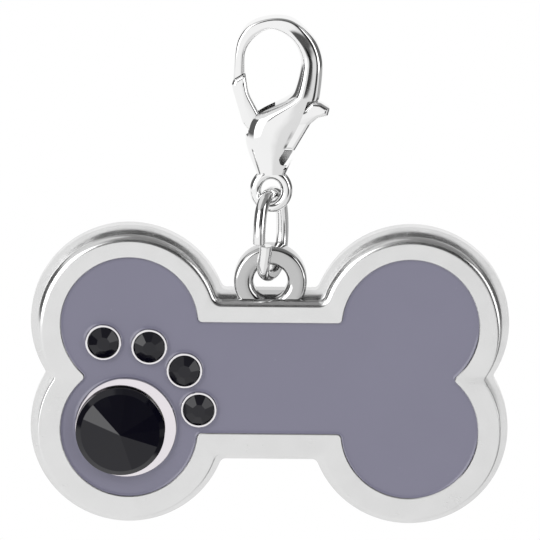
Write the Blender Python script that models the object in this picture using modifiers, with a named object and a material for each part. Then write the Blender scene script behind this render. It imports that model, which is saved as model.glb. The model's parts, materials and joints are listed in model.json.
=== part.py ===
"""Bone-shaped dog tag with a paw print of set stones, a jump ring and a lobster clasp.

Metres, +Z up, the front faces -Y. The origin is the inside top of the hook,
where a collar ring carries the tag, and the tag hangs straight down from it.
"""

import math

import bmesh
import bpy
from mathutils import Matrix, Vector

MM = 0.001

# Fits between pieces
SEAT_GAP = 0.05 * MM        # round a filling, a bed or a stone in its recess
PIN_GAP = 0.03 * MM         # round the pressed pin
LEVER_SIDE_GAP = 0.06 * MM  # each side of the lever in its slot
TIP_GAP = 0.09 * MM         # between the closed gate and the tip of the hook

# Bone casting, in two tiers
LOBE_RADIUS = 5.73 * MM         # edge of the filling round one lobe
LOBE_SPACING_X = 23.5 * MM
LOBE_SPACING_Z = 9.03 * MM
SHAFT_HALF_HEIGHT = 4.76 * MM   # edge of the filling along the shaft
FILLING_FILLET = 0.40 * MM
TIER_FILLET = 0.55 * MM
FRONT_RIM = 1.91 * MM           # front tier outside the filling
BACK_FLANGE = 0.61 * MM         # back tier outside the front tier
TAG_THICKNESS = 3.0 * MM
BACK_TIER_THICKNESS = 1.5 * MM
FRONT_ROUNDING = 0.62 * MM
BACK_ROUNDING = 0.34 * MM
RECESS_DEPTH = 0.60 * MM
FILLING_BELOW_RIM = 0.20 * MM

# Bail, a ring that stands on the shaft
BAIL_RADIUS = 3.04 * MM
BAIL_BORE_RADIUS = 1.42 * MM
BAIL_THICKNESS = 2.2 * MM
BAIL_OUTER_ROUNDING = 0.36 * MM
BAIL_BORE_ROUNDING = 0.66 * MM
BAIL_HEIGHT = 0.82 * MM         # centre of the bail above the back tier
BAIL_BACK_STEP = 0.15 * MM      # back of the bail in front of the back of the tag

# Seat of the pad stone, and the stone
PAD_SEAT_RADIUS = 4.23 * MM
PAD_SEAT_X = -11.98 * MM
PAD_SEAT_Z = -4.17 * MM
PAD_SEAT_RISE = 0.06 * MM       # above the rim
PAD_SEAT_ROUNDING = 0.10 * MM
PAD_POCKET_RADIUS = 3.30 * MM
PAD_POCKET_DEPTH = 1.35 * MM
PAD_STONE_RADIUS = 3.73 * MM
PAD_STONE_SHIFT_X = -0.46 * MM  # the stone is cemented a little off centre
PAD_STONE_SHIFT_Z = -0.18 * MM
PAD_STONE_RISE = 0.55 * MM      # back of the girdle above the seat
PAD_GIRDLE = 0.35 * MM
PAD_BEZEL_RADIUS = 3.30 * MM
PAD_BEZEL_HEIGHT = 0.42 * MM
PAD_CROWN_HEIGHT = 0.80 * MM
PAD_PAVILION_DEPTH = 1.70 * MM
PAD_FACETS = 14
PAD_FIRST_EDGE = 5.0            # angle of the first edge between facets, in degrees

# Toe stones in their cups, placed round the pad stone
TOE_GAPS = (3.28 * MM, 3.18 * MM, 3.08 * MM, 2.52 * MM)  # centres beyond the radius of the seat
TOE_ANGLES = (101.2, 71.3, 43.2, 14.2)
TOE_FIRST_EDGES = (10.0, 28.0, 3.0, 18.0)
CUP_RADIUS = 1.50 * MM
CUP_WALL = 0.16 * MM
CUP_ROUNDING = 0.05 * MM
CUP_RISE = 0.22 * MM            # above the rim
CUP_DEPTH = 1.15 * MM
TOE_TABLE_RADIUS = 0.56 * MM
TOE_CROWN_HEIGHT = 0.45 * MM
TOE_GIRDLE = 0.10 * MM
TOE_GIRDLE_DROP = 0.06 * MM     # top of the girdle below the edge of the cup
TOE_PAVILION_DEPTH = 0.78 * MM
TOE_FACETS = 8
TOE_BED_DISH = 0.80             # share of the radius that is dished

# Jump ring, an oval of round wire turned out of the plane of the tag
WIRE_DIAMETER = 1.05 * MM
JUMP_WIDTH = 4.7 * MM           # between the centres of the limbs, which bulge
JUMP_BOW_RADIUS = 2.15 * MM     # centre of the wire at both bows
JUMP_LENGTH = 7.0 * MM          # between the centres of the bows
JUMP_TURN = 65.5                # degrees from the plane of the tag
JUMP_CUT_DROP = 3.95 * MM       # cut in the near limb below the top bow
JUMP_CUT_GAP = 0.10 * MM
JUMP_CUT_OFFSET = 0.62 * MM     # how far the lower cut end stands aside
JUMP_CUT_REACH = 0.17           # share of the wire that is bent aside
JUMP_BAIL_GAP = 0.46 * MM       # bottom bow to the top of the bore
JUMP_CLASP_GAP = 0.15 * MM      # top bow to the ring of the clasp

# Clasp: places in millimetres from the origin, as (x, z), along both rails of
# the casting, with half the depth at each station
HOOK_STATIONS = (
    ((-2.28, -3.60), (-3.23, -4.20), 0.90),
    ((-2.25, -2.10), (-3.07, -1.93), 0.90),
    ((-1.86, -1.19), (-2.70, -0.58), 0.92),
    ((-1.16, -0.49), (-1.76, 0.46), 0.95),
    ((-0.17, 0.00), (-0.05, 0.99), 1.00),
    ((0.88, -0.34), (1.54, 0.83), 1.05),
    ((1.68, -0.99), (2.83, -0.09), 1.10),
    ((2.16, -1.82), (3.76, -1.29), 1.15),
    ((2.38, -2.90), (4.20, -2.96), 1.20),
    ((1.96, -4.93), (4.03, -5.44), 1.35),
    ((1.35, -5.78), (3.76, -6.43), 1.45),
    ((-0.79, -7.11), (3.28, -7.93), 1.50),
    ((-1.80, -7.80), (3.00, -8.66), 1.50),
    ((-2.17, -9.05), (2.46, -9.64), 1.50),
    ((-1.99, -10.29), (1.99, -10.54), 1.42),
)
FOOT_HALF_WIDTH = 1.22 * MM     # last station, where the casting runs into its ring
FOOT_HALF_DEPTH = 0.85 * MM
STATION_STEPS = 4
SECTION_POINTS = 16
SECTION_SQUARENESS = 2.9

# Ring at the foot of the clasp, an oval eye
EYE_DROP = 13.75 * MM           # centre of the eye below the origin
EYE_HALF_WIDTH = 0.80 * MM
EYE_HALF_HEIGHT = 0.92 * MM
EYE_WALL = 0.98 * MM
EYE_THICKNESS = 1.00 * MM
EYE_ROUNDING = 0.46 * MM
EYE_FOOT_OVERLAP = 0.47 * MM    # ring and casting run into each other

# Slot through the middle of the clasp, (x, z, corner radius)
SLOT_OUTLINE = (
    (-4.05, -7.41, 0.0),
    (-1.71, -6.04, 0.0),
    (-0.54, -5.70, 0.0),
    (0.71, -5.70, 0.0),
    (2.46, -5.78, 0.0),
    (5.80, -5.18, 0.0),
    (5.80, -9.50, 0.0),
    (1.80, -11.00, 0.0),
    (1.20, -11.90, 0.3),
    (-0.55, -11.90, 0.3),
    (-1.12, -11.00, 0.4),
    (-1.60, -10.00, 0.4),
    (-1.75, -9.20, 0.3),
    (-2.71, -8.70, 0.0),
)

# Window in the front cheek that shows the tail of the lever
WINDOW_OUTLINE = (
    (2.95, -5.95, 0.0),
    (2.30, -7.84, 1.5),
    (1.76, -8.93, 1.5),
    (0.62, -10.86, 0.35),
    (0.74, -11.48, 0.30),
    (6.00, -11.30, 0.0),
    (6.00, -5.60, 0.0),
)

# Lever: pivot, then its outline after the two corners of the gate's end
PIVOT_X = -0.38 * MM
PIVOT_Z = -9.30 * MM
LEVER_THICKNESS = 1.50 * MM
LEVER_ROUNDING = 0.16 * MM
GATE_CORNER = 0.10
LEVER_OUTLINE = (
    (-1.98, -5.45, 3.0),
    (-0.85, -7.55, 0.8),
    (0.10, -8.00, 0.6),
    (2.70, -6.80, 0.5),
    (3.30, -6.12, 0.35),
    (4.05, -6.20, 0.7),
    (4.82, -6.68, 0.18),
    (4.64, -7.34, 0.24),
    (3.86, -7.50, 0.9),
    (3.20, -8.05, 0.8),
    (1.88, -10.35, 0.25),
    (-1.40, -10.35, 0.85),
    (-1.40, -9.20, 0.6),
    (-2.42, -8.00, 1.0),
    (-3.22, -5.30, 2.5),
    (-3.36, -4.72, 0.35),
)

# Pin and return spring inside the clasp
PIN_RADIUS = 0.40 * MM
PIN_BLIND_WALL = 0.32 * MM      # left in front of the pin
PIN_BACK_DROP = 0.06 * MM       # below the back of the clasp
SPRING_X = 0.16 * MM
SPRING_WIRE = 0.18 * MM
SPRING_RADIUS = 0.52 * MM
SPRING_TURNS = 4.5
SPRING_POINTS_PER_TURN = 10
SPRING_SEAT_GAP = 0.04 * MM

# Steps once round the turned shapes
SEAT_STEPS = 48
POCKET_STEPS = 40
PIN_STEPS = 32
CUP_STEPS = 28
BED_STEPS = 24

# Places that follow from the sizes above
LEVER_HALF = LEVER_THICKNESS / 2
WIRE_RADIUS = WIRE_DIAMETER / 2
JUMP_TOP_Z = -EYE_DROP - EYE_HALF_HEIGHT + JUMP_CLASP_GAP + WIRE_RADIUS
JUMP_BOTTOM_Z = JUMP_TOP_Z - JUMP_LENGTH
BAIL_Z = JUMP_BOTTOM_Z + WIRE_RADIUS + JUMP_BAIL_GAP - BAIL_BORE_RADIUS
BACK_OFFSET = FRONT_RIM + BACK_FLANGE
TAG_Z = BAIL_Z - BAIL_HEIGHT - SHAFT_HALF_HEIGHT - BACK_OFFSET
FOOT_Z = -EYE_DROP + EYE_HALF_HEIGHT + EYE_WALL - EYE_FOOT_OVERLAP
BACK_Y = BAIL_THICKNESS / 2 + BAIL_BACK_STEP
RIM_Y = BACK_Y - TAG_THICKNESS
SEAT_Y = RIM_Y - PAD_SEAT_RISE
CUP_Y = RIM_Y - CUP_RISE
FLOOR_Y = RIM_Y + RECESS_DEPTH
SPRING_FLOOR_Z = min(z for _, z, _ in SLOT_OUTLINE) * MM
LEVER_FOOT_Z = min(z for _, z, _ in LEVER_OUTLINE) * MM
CLASP_HALF_DEPTH = max(station[2] for station in HOOK_STATIONS) * MM


def clear_scene():
    """Remove what the file holds, so that only the model is in it."""
    for item in list(bpy.data.objects):
        bpy.data.objects.remove(item, do_unlink=True)


def new_collection(name):
    """Link a new collection to the scene."""
    group = bpy.data.collections.new(name)
    bpy.context.scene.collection.children.link(group)
    return group


def new_material(name, colour, roughness, metallic):
    """Principled material of one colour."""
    finish = bpy.data.materials.new(name)
    finish.use_nodes = True
    shader = finish.node_tree.nodes["Principled BSDF"]
    shader.inputs["Base Color"].default_value = (*colour, 1.0)
    shader.inputs["Roughness"].default_value = roughness
    shader.inputs["Metallic"].default_value = metallic
    return finish


def add_mesh(name, mesh, group, finish=None):
    """Put a mesh in the scene as an object of its collection."""
    item = bpy.data.objects.new(name, mesh)
    group.objects.link(item)
    if finish is not None:
        mesh.materials.clear()
        mesh.materials.append(finish)
    return item


def shade(item, degrees=32.0):
    """Smooth faces with sharp edges kept."""
    item.data.shade_smooth()
    item.data.set_sharp_from_angle(angle=math.radians(degrees))


def as_mesh(item, finish=None):
    """Turn a curve or modified object into a plain welded mesh object."""
    graph = bpy.context.evaluated_depsgraph_get()
    graph.update()
    mesh = bpy.data.meshes.new_from_object(item.evaluated_get(graph))
    mesh.transform(item.matrix_world)
    work = bmesh.new()
    work.from_mesh(mesh)
    bmesh.ops.remove_doubles(work, verts=work.verts, dist=0.001 * MM)
    bmesh.ops.recalc_face_normals(work, faces=work.faces)
    work.to_mesh(mesh)
    work.free()
    group = item.users_collection[0]
    name = item.name
    bpy.data.objects.remove(item, do_unlink=True)
    return add_mesh(name, mesh, group, finish)


def make_cutter(item):
    """Mark an object as a tool of a Boolean and not a piece."""
    item.hide_render = True
    item.display_type = "WIRE"
    return item


def combine(item, tool, operation, solver="EXACT"):
    """Add a Boolean of a tool to a piece."""
    modifier = item.modifiers.new(tool.name, "BOOLEAN")
    modifier.operation = operation
    modifier.solver = solver
    modifier.object = make_cutter(tool)


def apply_modifiers(item):
    """Bake the Booleans into the piece's mesh."""
    graph = bpy.context.evaluated_depsgraph_get()
    graph.update()
    mesh = bpy.data.meshes.new_from_object(item.evaluated_get(graph))
    item.modifiers.clear()
    item.data = mesh


def set_pivot(item, pivot):
    """Move an object's origin to a place without moving its shape."""
    place = Vector(pivot)
    item.data.transform(Matrix.Translation(item.location - place))
    item.location = place


def arc(centre, radius, start, end, steps):
    """Points of an arc from one angle to another, both included."""
    points = []
    for step in range(steps + 1):
        angle = start + (end - start) * step / steps
        points.append((centre[0] + radius * math.cos(angle), centre[1] + radius * math.sin(angle)))
    return points


def bone_outline(offset, fillet, lobe_steps=24, fillet_steps=4):
    """Closed outline of the bone, grown by an offset, with filleted inside corners."""
    radius = LOBE_RADIUS + offset
    half_height = SHAFT_HALF_HEIGHT + offset
    lobe = (LOBE_SPACING_X / 2, LOBE_SPACING_Z / 2)
    reach = radius + fillet
    waist_z = half_height + fillet
    waist = (lobe[0] - math.sqrt(reach ** 2 - (waist_z - lobe[1]) ** 2), waist_z)
    notch = (lobe[0] + math.sqrt(reach ** 2 - lobe[1] ** 2), 0.0)
    to_lobe = math.atan2(lobe[1] - waist[1], lobe[0] - waist[0])
    to_notch = math.atan2(notch[1] - lobe[1], notch[0] - lobe[0])
    quarter = arc(waist, fillet, -math.pi / 2, to_lobe, fillet_steps)
    quarter += arc(lobe, radius, to_lobe + math.pi, to_notch, lobe_steps)[1:]
    quarter += arc(notch, fillet, to_notch + math.pi, math.pi, fillet_steps)[1:]
    right = quarter + [(x, -z) for x, z in reversed(quarter[:-1])]
    left = [(-x, z) for x, z in reversed(right)]
    return right + left


def filleted(corners, steps=4):
    """Closed outline in metres from (x, z, radius) corners in millimetres."""
    points = []
    count = len(corners)
    for index, (x, z, radius) in enumerate(corners):
        corner = Vector((x, z))
        before = Vector(corners[index - 1][:2]) - corner
        after = Vector(corners[(index + 1) % count][:2]) - corner
        half_angle = before.angle(after) / 2
        reach = 0.0
        if radius > 0.0 and half_angle < math.radians(89.0):
            limit = 0.48 * min(before.length, after.length)
            reach = min(radius / math.tan(half_angle), limit)
        if reach < 0.001:
            points.append(corner)
            continue
        start = corner + before.normalized() * reach
        end = corner + after.normalized() * reach
        centre = corner + (before.normalized() + after.normalized()).normalized() * (
            reach / math.cos(half_angle))
        for step in range(steps + 1):
            ray = (start - centre).lerp(end - centre, step / steps).normalized()
            points.append(centre + ray * (start - centre).length)
    return [(point.x * MM, point.y * MM) for point in points]


def ellipse(half_width, half_height, centre_z, steps):
    """Closed oval outline."""
    points = []
    for step in range(steps):
        angle = 2 * math.pi * step / steps
        points.append((half_width * math.cos(angle), centre_z + half_height * math.sin(angle)))
    return points


def plate(name, outlines, front_y, back_y, rounding, group, finish=None, rounds=1):
    """Flat plate between two depths with rounded edges, from closed (x, z) outlines."""
    data = bpy.data.curves.new(name, "CURVE")
    data.dimensions = "2D"
    data.fill_mode = "BOTH"
    data.extrude = (back_y - front_y) / 2 - rounding
    if rounding > 0.0:
        data.bevel_depth = rounding
        data.bevel_resolution = rounds
        data.offset = -rounding
    for outline in outlines:
        spline = data.splines.new("POLY")
        spline.points.add(len(outline) - 1)
        for point, (x, z) in zip(spline.points, outline):
            point.co = (x, z, 0.0, 1.0)
        spline.use_cyclic_u = True
    item = bpy.data.objects.new(name, data)
    group.objects.link(item)
    item.rotation_euler = (math.pi / 2, 0.0, 0.0)
    item.location = (0.0, (front_y + back_y) / 2, 0.0)
    bpy.context.view_layer.update()
    return as_mesh(item, finish)


def turned(name, profile, place, steps, group, finish=None, closed=False, first_edge=0.0):
    """Solid turned about an axis along Y, from (radius, height to the front) points.

    The first edge stands at an angle in degrees from +X towards +Z.
    """
    data = bpy.data.meshes.new(name)
    edges = [(index, index + 1) for index in range(len(profile) - 1)]
    if closed:
        edges.append((len(profile) - 1, 0))
    data.from_pydata([(radius, 0.0, height) for radius, height in profile], edges, [])
    item = bpy.data.objects.new(name, data)
    group.objects.link(item)
    screw = item.modifiers.new("turn", "SCREW")
    screw.steps = steps
    screw.render_steps = steps
    screw.use_merge_vertices = True
    screw.merge_threshold = 0.001 * MM
    item.rotation_euler = (math.pi / 2, -math.radians(first_edge), 0.0)
    item.location = place
    bpy.context.view_layer.update()
    return as_mesh(item, finish)


def drum(name, radius, front_y, back_y, x, z, group, steps):
    """Plain cylinder along Y between two depths."""
    half = (back_y - front_y) / 2
    profile = [(0.0, half), (radius, half), (radius, -half), (0.0, -half)]
    return turned(name, profile, (x, (front_y + back_y) / 2, z), steps, group)


def boss(name, radius, rounding, front_y, back_y, x, z, group, steps):
    """Cylinder along Y whose front edge is rounded."""
    half = (back_y - front_y) / 2
    edge = arc((radius - rounding, half - rounding), rounding, math.pi / 2, 0.0, 2)
    profile = [(0.0, half)] + edge + [(radius, -half), (0.0, -half)]
    return turned(name, profile, (x, (front_y + back_y) / 2, z), steps, group)


def round_wire(name, points, radius, resolution, group, finish):
    """Round wire with flat ends along a list of points."""
    data = bpy.data.curves.new(name, "CURVE")
    data.dimensions = "3D"
    data.bevel_depth = radius
    data.bevel_resolution = resolution
    data.use_fill_caps = True
    spline = data.splines.new("POLY")
    spline.points.add(len(points) - 1)
    for point, place in zip(spline.points, points):
        point.co = (*place, 1.0)
    item = bpy.data.objects.new(name, data)
    group.objects.link(item)
    bpy.context.view_layer.update()
    return as_mesh(item, finish)


def toe_places():
    """Centres of the toe stones in the frame of the tag, as (x, z)."""
    centre_x, centre_z = pad_stone_place()
    places = []
    for gap, angle in zip(TOE_GAPS, TOE_ANGLES):
        radius = PAD_SEAT_RADIUS + gap
        turn = math.radians(angle)
        places.append((centre_x + radius * math.cos(turn), centre_z + radius * math.sin(turn)))
    return places


def pad_stone_place():
    """Centre of the pad stone in the frame of the tag, as (x, z)."""
    return PAD_SEAT_X + PAD_STONE_SHIFT_X, PAD_SEAT_Z + PAD_STONE_SHIFT_Z


def moved(outline, down):
    """Outline lowered from its own centre to its place below the clasp."""
    return [(x, z + down) for x, z in outline]


def make_bail(group):
    """Rounded ring that stands on the shaft of the bone."""
    half = BAIL_THICKNESS / 2
    outer = BAIL_RADIUS - BAIL_OUTER_ROUNDING
    inner = BAIL_BORE_RADIUS + BAIL_BORE_ROUNDING
    outer_depth = half - BAIL_OUTER_ROUNDING
    inner_depth = half - BAIL_BORE_ROUNDING
    quarter = math.pi / 2
    profile = arc((outer, outer_depth), BAIL_OUTER_ROUNDING, quarter, 0.0, 3)
    profile += arc((outer, -outer_depth), BAIL_OUTER_ROUNDING, 0.0, -quarter, 3)
    profile += arc((inner, -inner_depth), BAIL_BORE_ROUNDING, -quarter, -math.pi, 3)
    profile += arc((inner, inner_depth), BAIL_BORE_ROUNDING, math.pi, quarter, 3)
    return turned("bail", profile, (0.0, 0.0, BAIL_Z), POCKET_STEPS, group, closed=True)


def make_tag_body(group, tools, finish):
    """Two-tier bone casting with its bail, recess, stone seat and cups."""
    back_y = BACK_Y - BACK_TIER_THICKNESS
    back_tier = plate("tag_body", [moved(bone_outline(BACK_OFFSET, TIER_FILLET), TAG_Z)],
                      back_y, BACK_Y, BACK_ROUNDING, group, finish)
    front_tier = plate("front_tier", [moved(bone_outline(FRONT_RIM, TIER_FILLET), TAG_Z)],
                       RIM_Y, BACK_Y - BACK_TIER_THICKNESS / 3, FRONT_ROUNDING, tools)
    recess = plate("recess", [moved(bone_outline(0.0, FILLING_FILLET), TAG_Z)],
                   RIM_Y - TAG_THICKNESS, FLOOR_Y, 0.0, tools)
    combine(back_tier, make_bail(tools), "UNION", "MANIFOLD")
    combine(back_tier, front_tier, "UNION", "MANIFOLD")
    combine(back_tier, recess, "DIFFERENCE", "MANIFOLD")
    root_y = FLOOR_Y + RECESS_DEPTH / 2
    seat_z = TAG_Z + PAD_SEAT_Z
    seat = boss("pad_seat", PAD_SEAT_RADIUS, PAD_SEAT_ROUNDING, SEAT_Y, root_y,
                PAD_SEAT_X, seat_z, tools, SEAT_STEPS)
    combine(back_tier, seat, "UNION", "MANIFOLD")
    for index, (x, z) in enumerate(toe_places(), start=1):
        cup = boss(f"cup_{index}", CUP_RADIUS, CUP_ROUNDING, CUP_Y, root_y, x, TAG_Z + z, tools, CUP_STEPS)
        combine(back_tier, cup, "UNION", "MANIFOLD")
        bore = drum(f"cup_bore_{index}", CUP_RADIUS - CUP_WALL, CUP_Y - CUP_DEPTH, CUP_Y + CUP_DEPTH,
                    x, TAG_Z + z, tools, CUP_STEPS)
        combine(back_tier, bore, "DIFFERENCE", "MANIFOLD")
    pocket = drum("pad_pocket", PAD_POCKET_RADIUS, SEAT_Y - PAD_POCKET_DEPTH, SEAT_Y + PAD_POCKET_DEPTH,
                  PAD_SEAT_X, seat_z, tools, POCKET_STEPS)
    combine(back_tier, pocket, "DIFFERENCE", "MANIFOLD")
    apply_modifiers(back_tier)
    shade(back_tier)
    return back_tier


def make_filling(group, tools, finish):
    """Coloured filling in the recess, with openings round the seat and the cups."""
    outline = moved(bone_outline(-SEAT_GAP, FILLING_FILLET), TAG_Z)
    filling = plate("enamel_fill", [outline], RIM_Y + FILLING_BELOW_RIM, FLOOR_Y - SEAT_GAP,
                    0.0, group, finish)
    front = RIM_Y - TAG_THICKNESS
    hole = drum("filling_hole_pad", PAD_SEAT_RADIUS + SEAT_GAP, front, BACK_Y,
                PAD_SEAT_X, TAG_Z + PAD_SEAT_Z, tools, SEAT_STEPS)
    combine(filling, hole, "DIFFERENCE")
    for index, (x, z) in enumerate(toe_places(), start=1):
        hole = drum(f"filling_hole_{index}", CUP_RADIUS + SEAT_GAP, front, BACK_Y,
                    x, TAG_Z + z, tools, CUP_STEPS)
        combine(filling, hole, "DIFFERENCE")
    apply_modifiers(filling)
    shade(filling)
    return filling


def pad_stone_profile(grow=0.0):
    """Section of the pointed stone from its front tip to its back tip.

    Heights count from the back of the girdle.
    """
    girdle = PAD_GIRDLE
    bezel = girdle + PAD_BEZEL_HEIGHT
    return [
        (0.0, bezel + PAD_CROWN_HEIGHT + grow),
        (PAD_BEZEL_RADIUS + grow, bezel + grow),
        (PAD_STONE_RADIUS + grow, girdle + grow),
        (PAD_STONE_RADIUS + grow, 0.0),
        (0.0, -PAD_PAVILION_DEPTH - grow * 2),
    ]


def make_pad_stone(group, tools, stone_finish, bed_finish):
    """Pointed black stone and the cement bed under it."""
    x, z = pad_stone_place()
    place = (x, SEAT_Y - PAD_STONE_RISE, TAG_Z + z)
    stone = turned("pad_stone", pad_stone_profile(), place, PAD_FACETS, group, stone_finish,
                   first_edge=PAD_FIRST_EDGE)
    floor_y = SEAT_Y + PAD_POCKET_DEPTH - SEAT_GAP
    bed = drum("pad_stone_bed", PAD_POCKET_RADIUS - SEAT_GAP, SEAT_Y, floor_y,
               PAD_SEAT_X, TAG_Z + PAD_SEAT_Z, group, POCKET_STEPS)
    bed.data.materials.append(bed_finish)
    print_of_stone = turned("stone_print", pad_stone_profile(SEAT_GAP), place, PAD_FACETS, tools,
                            first_edge=PAD_FIRST_EDGE)
    combine(bed, print_of_stone, "DIFFERENCE")
    apply_modifiers(bed)
    shade(bed)
    return stone, bed


def make_toe_stones(group, stone_finish, bed_finish):
    """Four small faceted stones, each in its cup on a dished cement bed."""
    radius = CUP_RADIUS - CUP_WALL - SEAT_GAP
    girdle_y = CUP_Y + TOE_GIRDLE_DROP
    slope = TOE_PAVILION_DEPTH / radius
    pieces = []
    for index, ((x, z), first_edge) in enumerate(zip(toe_places(), TOE_FIRST_EDGES), start=1):
        profile = [
            (0.0, TOE_CROWN_HEIGHT),
            (TOE_TABLE_RADIUS, TOE_CROWN_HEIGHT),
            (radius, 0.0),
            (radius, -TOE_GIRDLE),
            (0.0, -TOE_GIRDLE - TOE_PAVILION_DEPTH),
        ]
        stone = turned(f"toe_stone_{index}", profile, (x, girdle_y, TAG_Z + z), TOE_FACETS, group,
                       stone_finish, first_edge=first_edge)
        dish = -TOE_GIRDLE - TOE_PAVILION_DEPTH - 2 * SEAT_GAP
        dished = radius * TOE_BED_DISH
        edge = dish + slope * dished
        floor = TOE_GIRDLE_DROP - CUP_DEPTH + SEAT_GAP
        bed_profile = [(0.0, dish), (dished, edge), (radius, edge), (radius, floor), (0.0, floor)]
        bed = turned(f"toe_stone_bed_{index}", bed_profile, (x, girdle_y, TAG_Z + z), BED_STEPS, group,
                     bed_finish)
        shade(bed)
        pieces += [stone, bed]
    return pieces


def jump_ring_outline(bow_steps, side_steps):
    """Oval of four arcs, once round from the cut in one side and back to it."""
    half, bow = JUMP_WIDTH / 2, JUMP_BOW_RADIUS
    middle_z = (JUMP_TOP_Z + JUMP_BOTTOM_Z) / 2
    rise = JUMP_LENGTH / 2 - bow
    side = (half ** 2 - bow ** 2 + rise ** 2) / (2 * (half - bow))
    lean = math.atan2(rise, side - half)
    cut = math.asin((middle_z - JUMP_TOP_Z + JUMP_CUT_DROP) / side)
    gap = JUMP_CUT_GAP / side / 2
    near, far = (side - half, middle_z), (half - side, middle_z)
    points = arc(near, side, math.pi + cut + gap, math.pi + lean, side_steps)
    points += arc((0.0, middle_z - rise), bow, math.pi + lean, 2 * math.pi - lean, bow_steps)[1:]
    points += arc(far, side, -lean, lean, 2 * side_steps)[1:]
    points += arc((0.0, middle_z + rise), bow, lean, math.pi - lean, bow_steps)[1:]
    points += arc(near, side, math.pi - lean, math.pi + cut - gap, side_steps)[1:]
    return points


def jump_ring_points(bow_steps=14, side_steps=3):
    """Centre line of the jump ring, whose lower cut end is bent aside."""
    turn = math.radians(JUMP_TURN)
    along = Vector((math.cos(turn), math.sin(turn), 0.0))
    across = Vector((-math.sin(turn), math.cos(turn), 0.0))
    outline = jump_ring_outline(bow_steps, side_steps)
    lengths = [0.0]
    for (u, z), (next_u, next_z) in zip(outline, outline[1:]):
        lengths.append(lengths[-1] + math.hypot(next_u - u, next_z - z))
    points = []
    for (u, z), length in zip(outline, lengths):
        near = max(0.0, 1.0 - length / lengths[-1] / JUMP_CUT_REACH)
        shift = JUMP_CUT_OFFSET * near ** 2 * (2 * near - 3)
        points.append(along * u + across * shift + Vector((0.0, 0.0, z)))
    return points


def rail(points, steps):
    """Smooth curve through points, each with its value, by cubic interpolation."""
    result = []
    last = len(points) - 1
    for index in range(last):
        before, start = points[max(index - 1, 0)], points[index]
        end, after = points[index + 1], points[min(index + 2, last)]
        for step in range(steps):
            t = step / steps
            result.append(0.5 * (2 * start + (end - before) * t
                                 + (2 * before - 5 * start + 4 * end - after) * t ** 2
                                 + (3 * start - before - 3 * end + after) * t ** 3))
    result.append(points[last])
    return result


def hook_section(left, right, half_depth):
    """Rounded section between the two rails of the hook."""
    centre = (left + right) / 2
    reach = (right - left) / 2
    power = 2 / SECTION_SQUARENESS
    section = []
    for step in range(SECTION_POINTS):
        angle = 2 * math.pi * (step + 0.5) / SECTION_POINTS
        u = math.copysign(abs(math.cos(angle)) ** power, math.cos(angle))
        v = math.copysign(abs(math.sin(angle)) ** power, math.sin(angle))
        section.append(Vector((centre.x + reach.x * u, half_depth * v, centre.y + reach.y * u)))
    return section


def make_clasp_casting(group, finish):
    """Hook, spine and swelling body, lofted through the stations."""
    left = [Vector(station[0]) * MM for station in HOOK_STATIONS] + [Vector((-FOOT_HALF_WIDTH, FOOT_Z))]
    right = [Vector(station[1]) * MM for station in HOOK_STATIONS] + [Vector((FOOT_HALF_WIDTH, FOOT_Z))]
    depth = [station[2] * MM for station in HOOK_STATIONS] + [FOOT_HALF_DEPTH]
    sections = zip(rail(left, STATION_STEPS), rail(right, STATION_STEPS), rail(depth, STATION_STEPS))
    work = bmesh.new()
    rings = []
    for sides in sections:
        rings.append([work.verts.new(point) for point in hook_section(*sides)])
    for lower, upper in zip(rings, rings[1:]):
        for index in range(SECTION_POINTS):
            following = (index + 1) % SECTION_POINTS
            work.faces.new((lower[index], lower[following], upper[following], upper[index]))
    work.faces.new(rings[0])
    work.faces.new(rings[-1])
    bmesh.ops.recalc_face_normals(work, faces=work.faces)
    mesh = bpy.data.meshes.new("clasp_body")
    work.to_mesh(mesh)
    work.free()
    return add_mesh("clasp_body", mesh, group, finish)


def make_clasp_body(group, tools, finish):
    """Cast clasp with its eye, lever slot, window, pin bore and spring seat."""
    body = make_clasp_casting(group, finish)
    outer = ellipse(EYE_HALF_WIDTH + EYE_WALL, EYE_HALF_HEIGHT + EYE_WALL, -EYE_DROP, 40)
    inner = ellipse(EYE_HALF_WIDTH, EYE_HALF_HEIGHT, -EYE_DROP, 28)
    eye = plate("eye", [outer, inner], -EYE_THICKNESS / 2, EYE_THICKNESS / 2, EYE_ROUNDING, tools,
                rounds=2)
    combine(body, eye, "UNION")
    slot_half = LEVER_HALF + LEVER_SIDE_GAP
    slot = plate("slot", [filleted(SLOT_OUTLINE)], -slot_half, slot_half, 0.0, tools)
    combine(body, slot, "DIFFERENCE")
    window = plate("window", [filleted(WINDOW_OUTLINE)], -2 * CLASP_HALF_DEPTH, -LEVER_HALF / 2, 0.0, tools)
    combine(body, window, "DIFFERENCE")
    bore = drum("pin_bore", PIN_RADIUS + PIN_GAP, PIN_BLIND_WALL - CLASP_HALF_DEPTH,
                2 * CLASP_HALF_DEPTH, PIVOT_X, PIVOT_Z, tools, PIN_STEPS)
    combine(body, bore, "DIFFERENCE")
    apply_modifiers(body)
    shade(body)
    return body


def make_lever(group, tools, finish):
    """Gate, hub, tail and thumb tab in one flat piece, with its pin bore."""
    inner, outer = Vector(HOOK_STATIONS[0][0]), Vector(HOOK_STATIONS[0][1])
    edge = (inner - outer).normalized()
    away = Vector((edge.y, -edge.x)) * (TIP_GAP / MM)
    ends = [(*(outer + away), GATE_CORNER), (*(inner + away), GATE_CORNER)]
    lever = plate("clasp_lever", [filleted(tuple(ends) + LEVER_OUTLINE)], -LEVER_HALF, LEVER_HALF,
                  LEVER_ROUNDING, group, finish)
    bore = drum("lever_bore", PIN_RADIUS + PIN_GAP, -2 * LEVER_HALF, 2 * LEVER_HALF,
                PIVOT_X, PIVOT_Z, tools, PIN_STEPS)
    combine(lever, bore, "DIFFERENCE")
    apply_modifiers(lever)
    shade(lever)
    set_pivot(lever, (PIVOT_X, 0.0, PIVOT_Z))
    return lever


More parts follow.
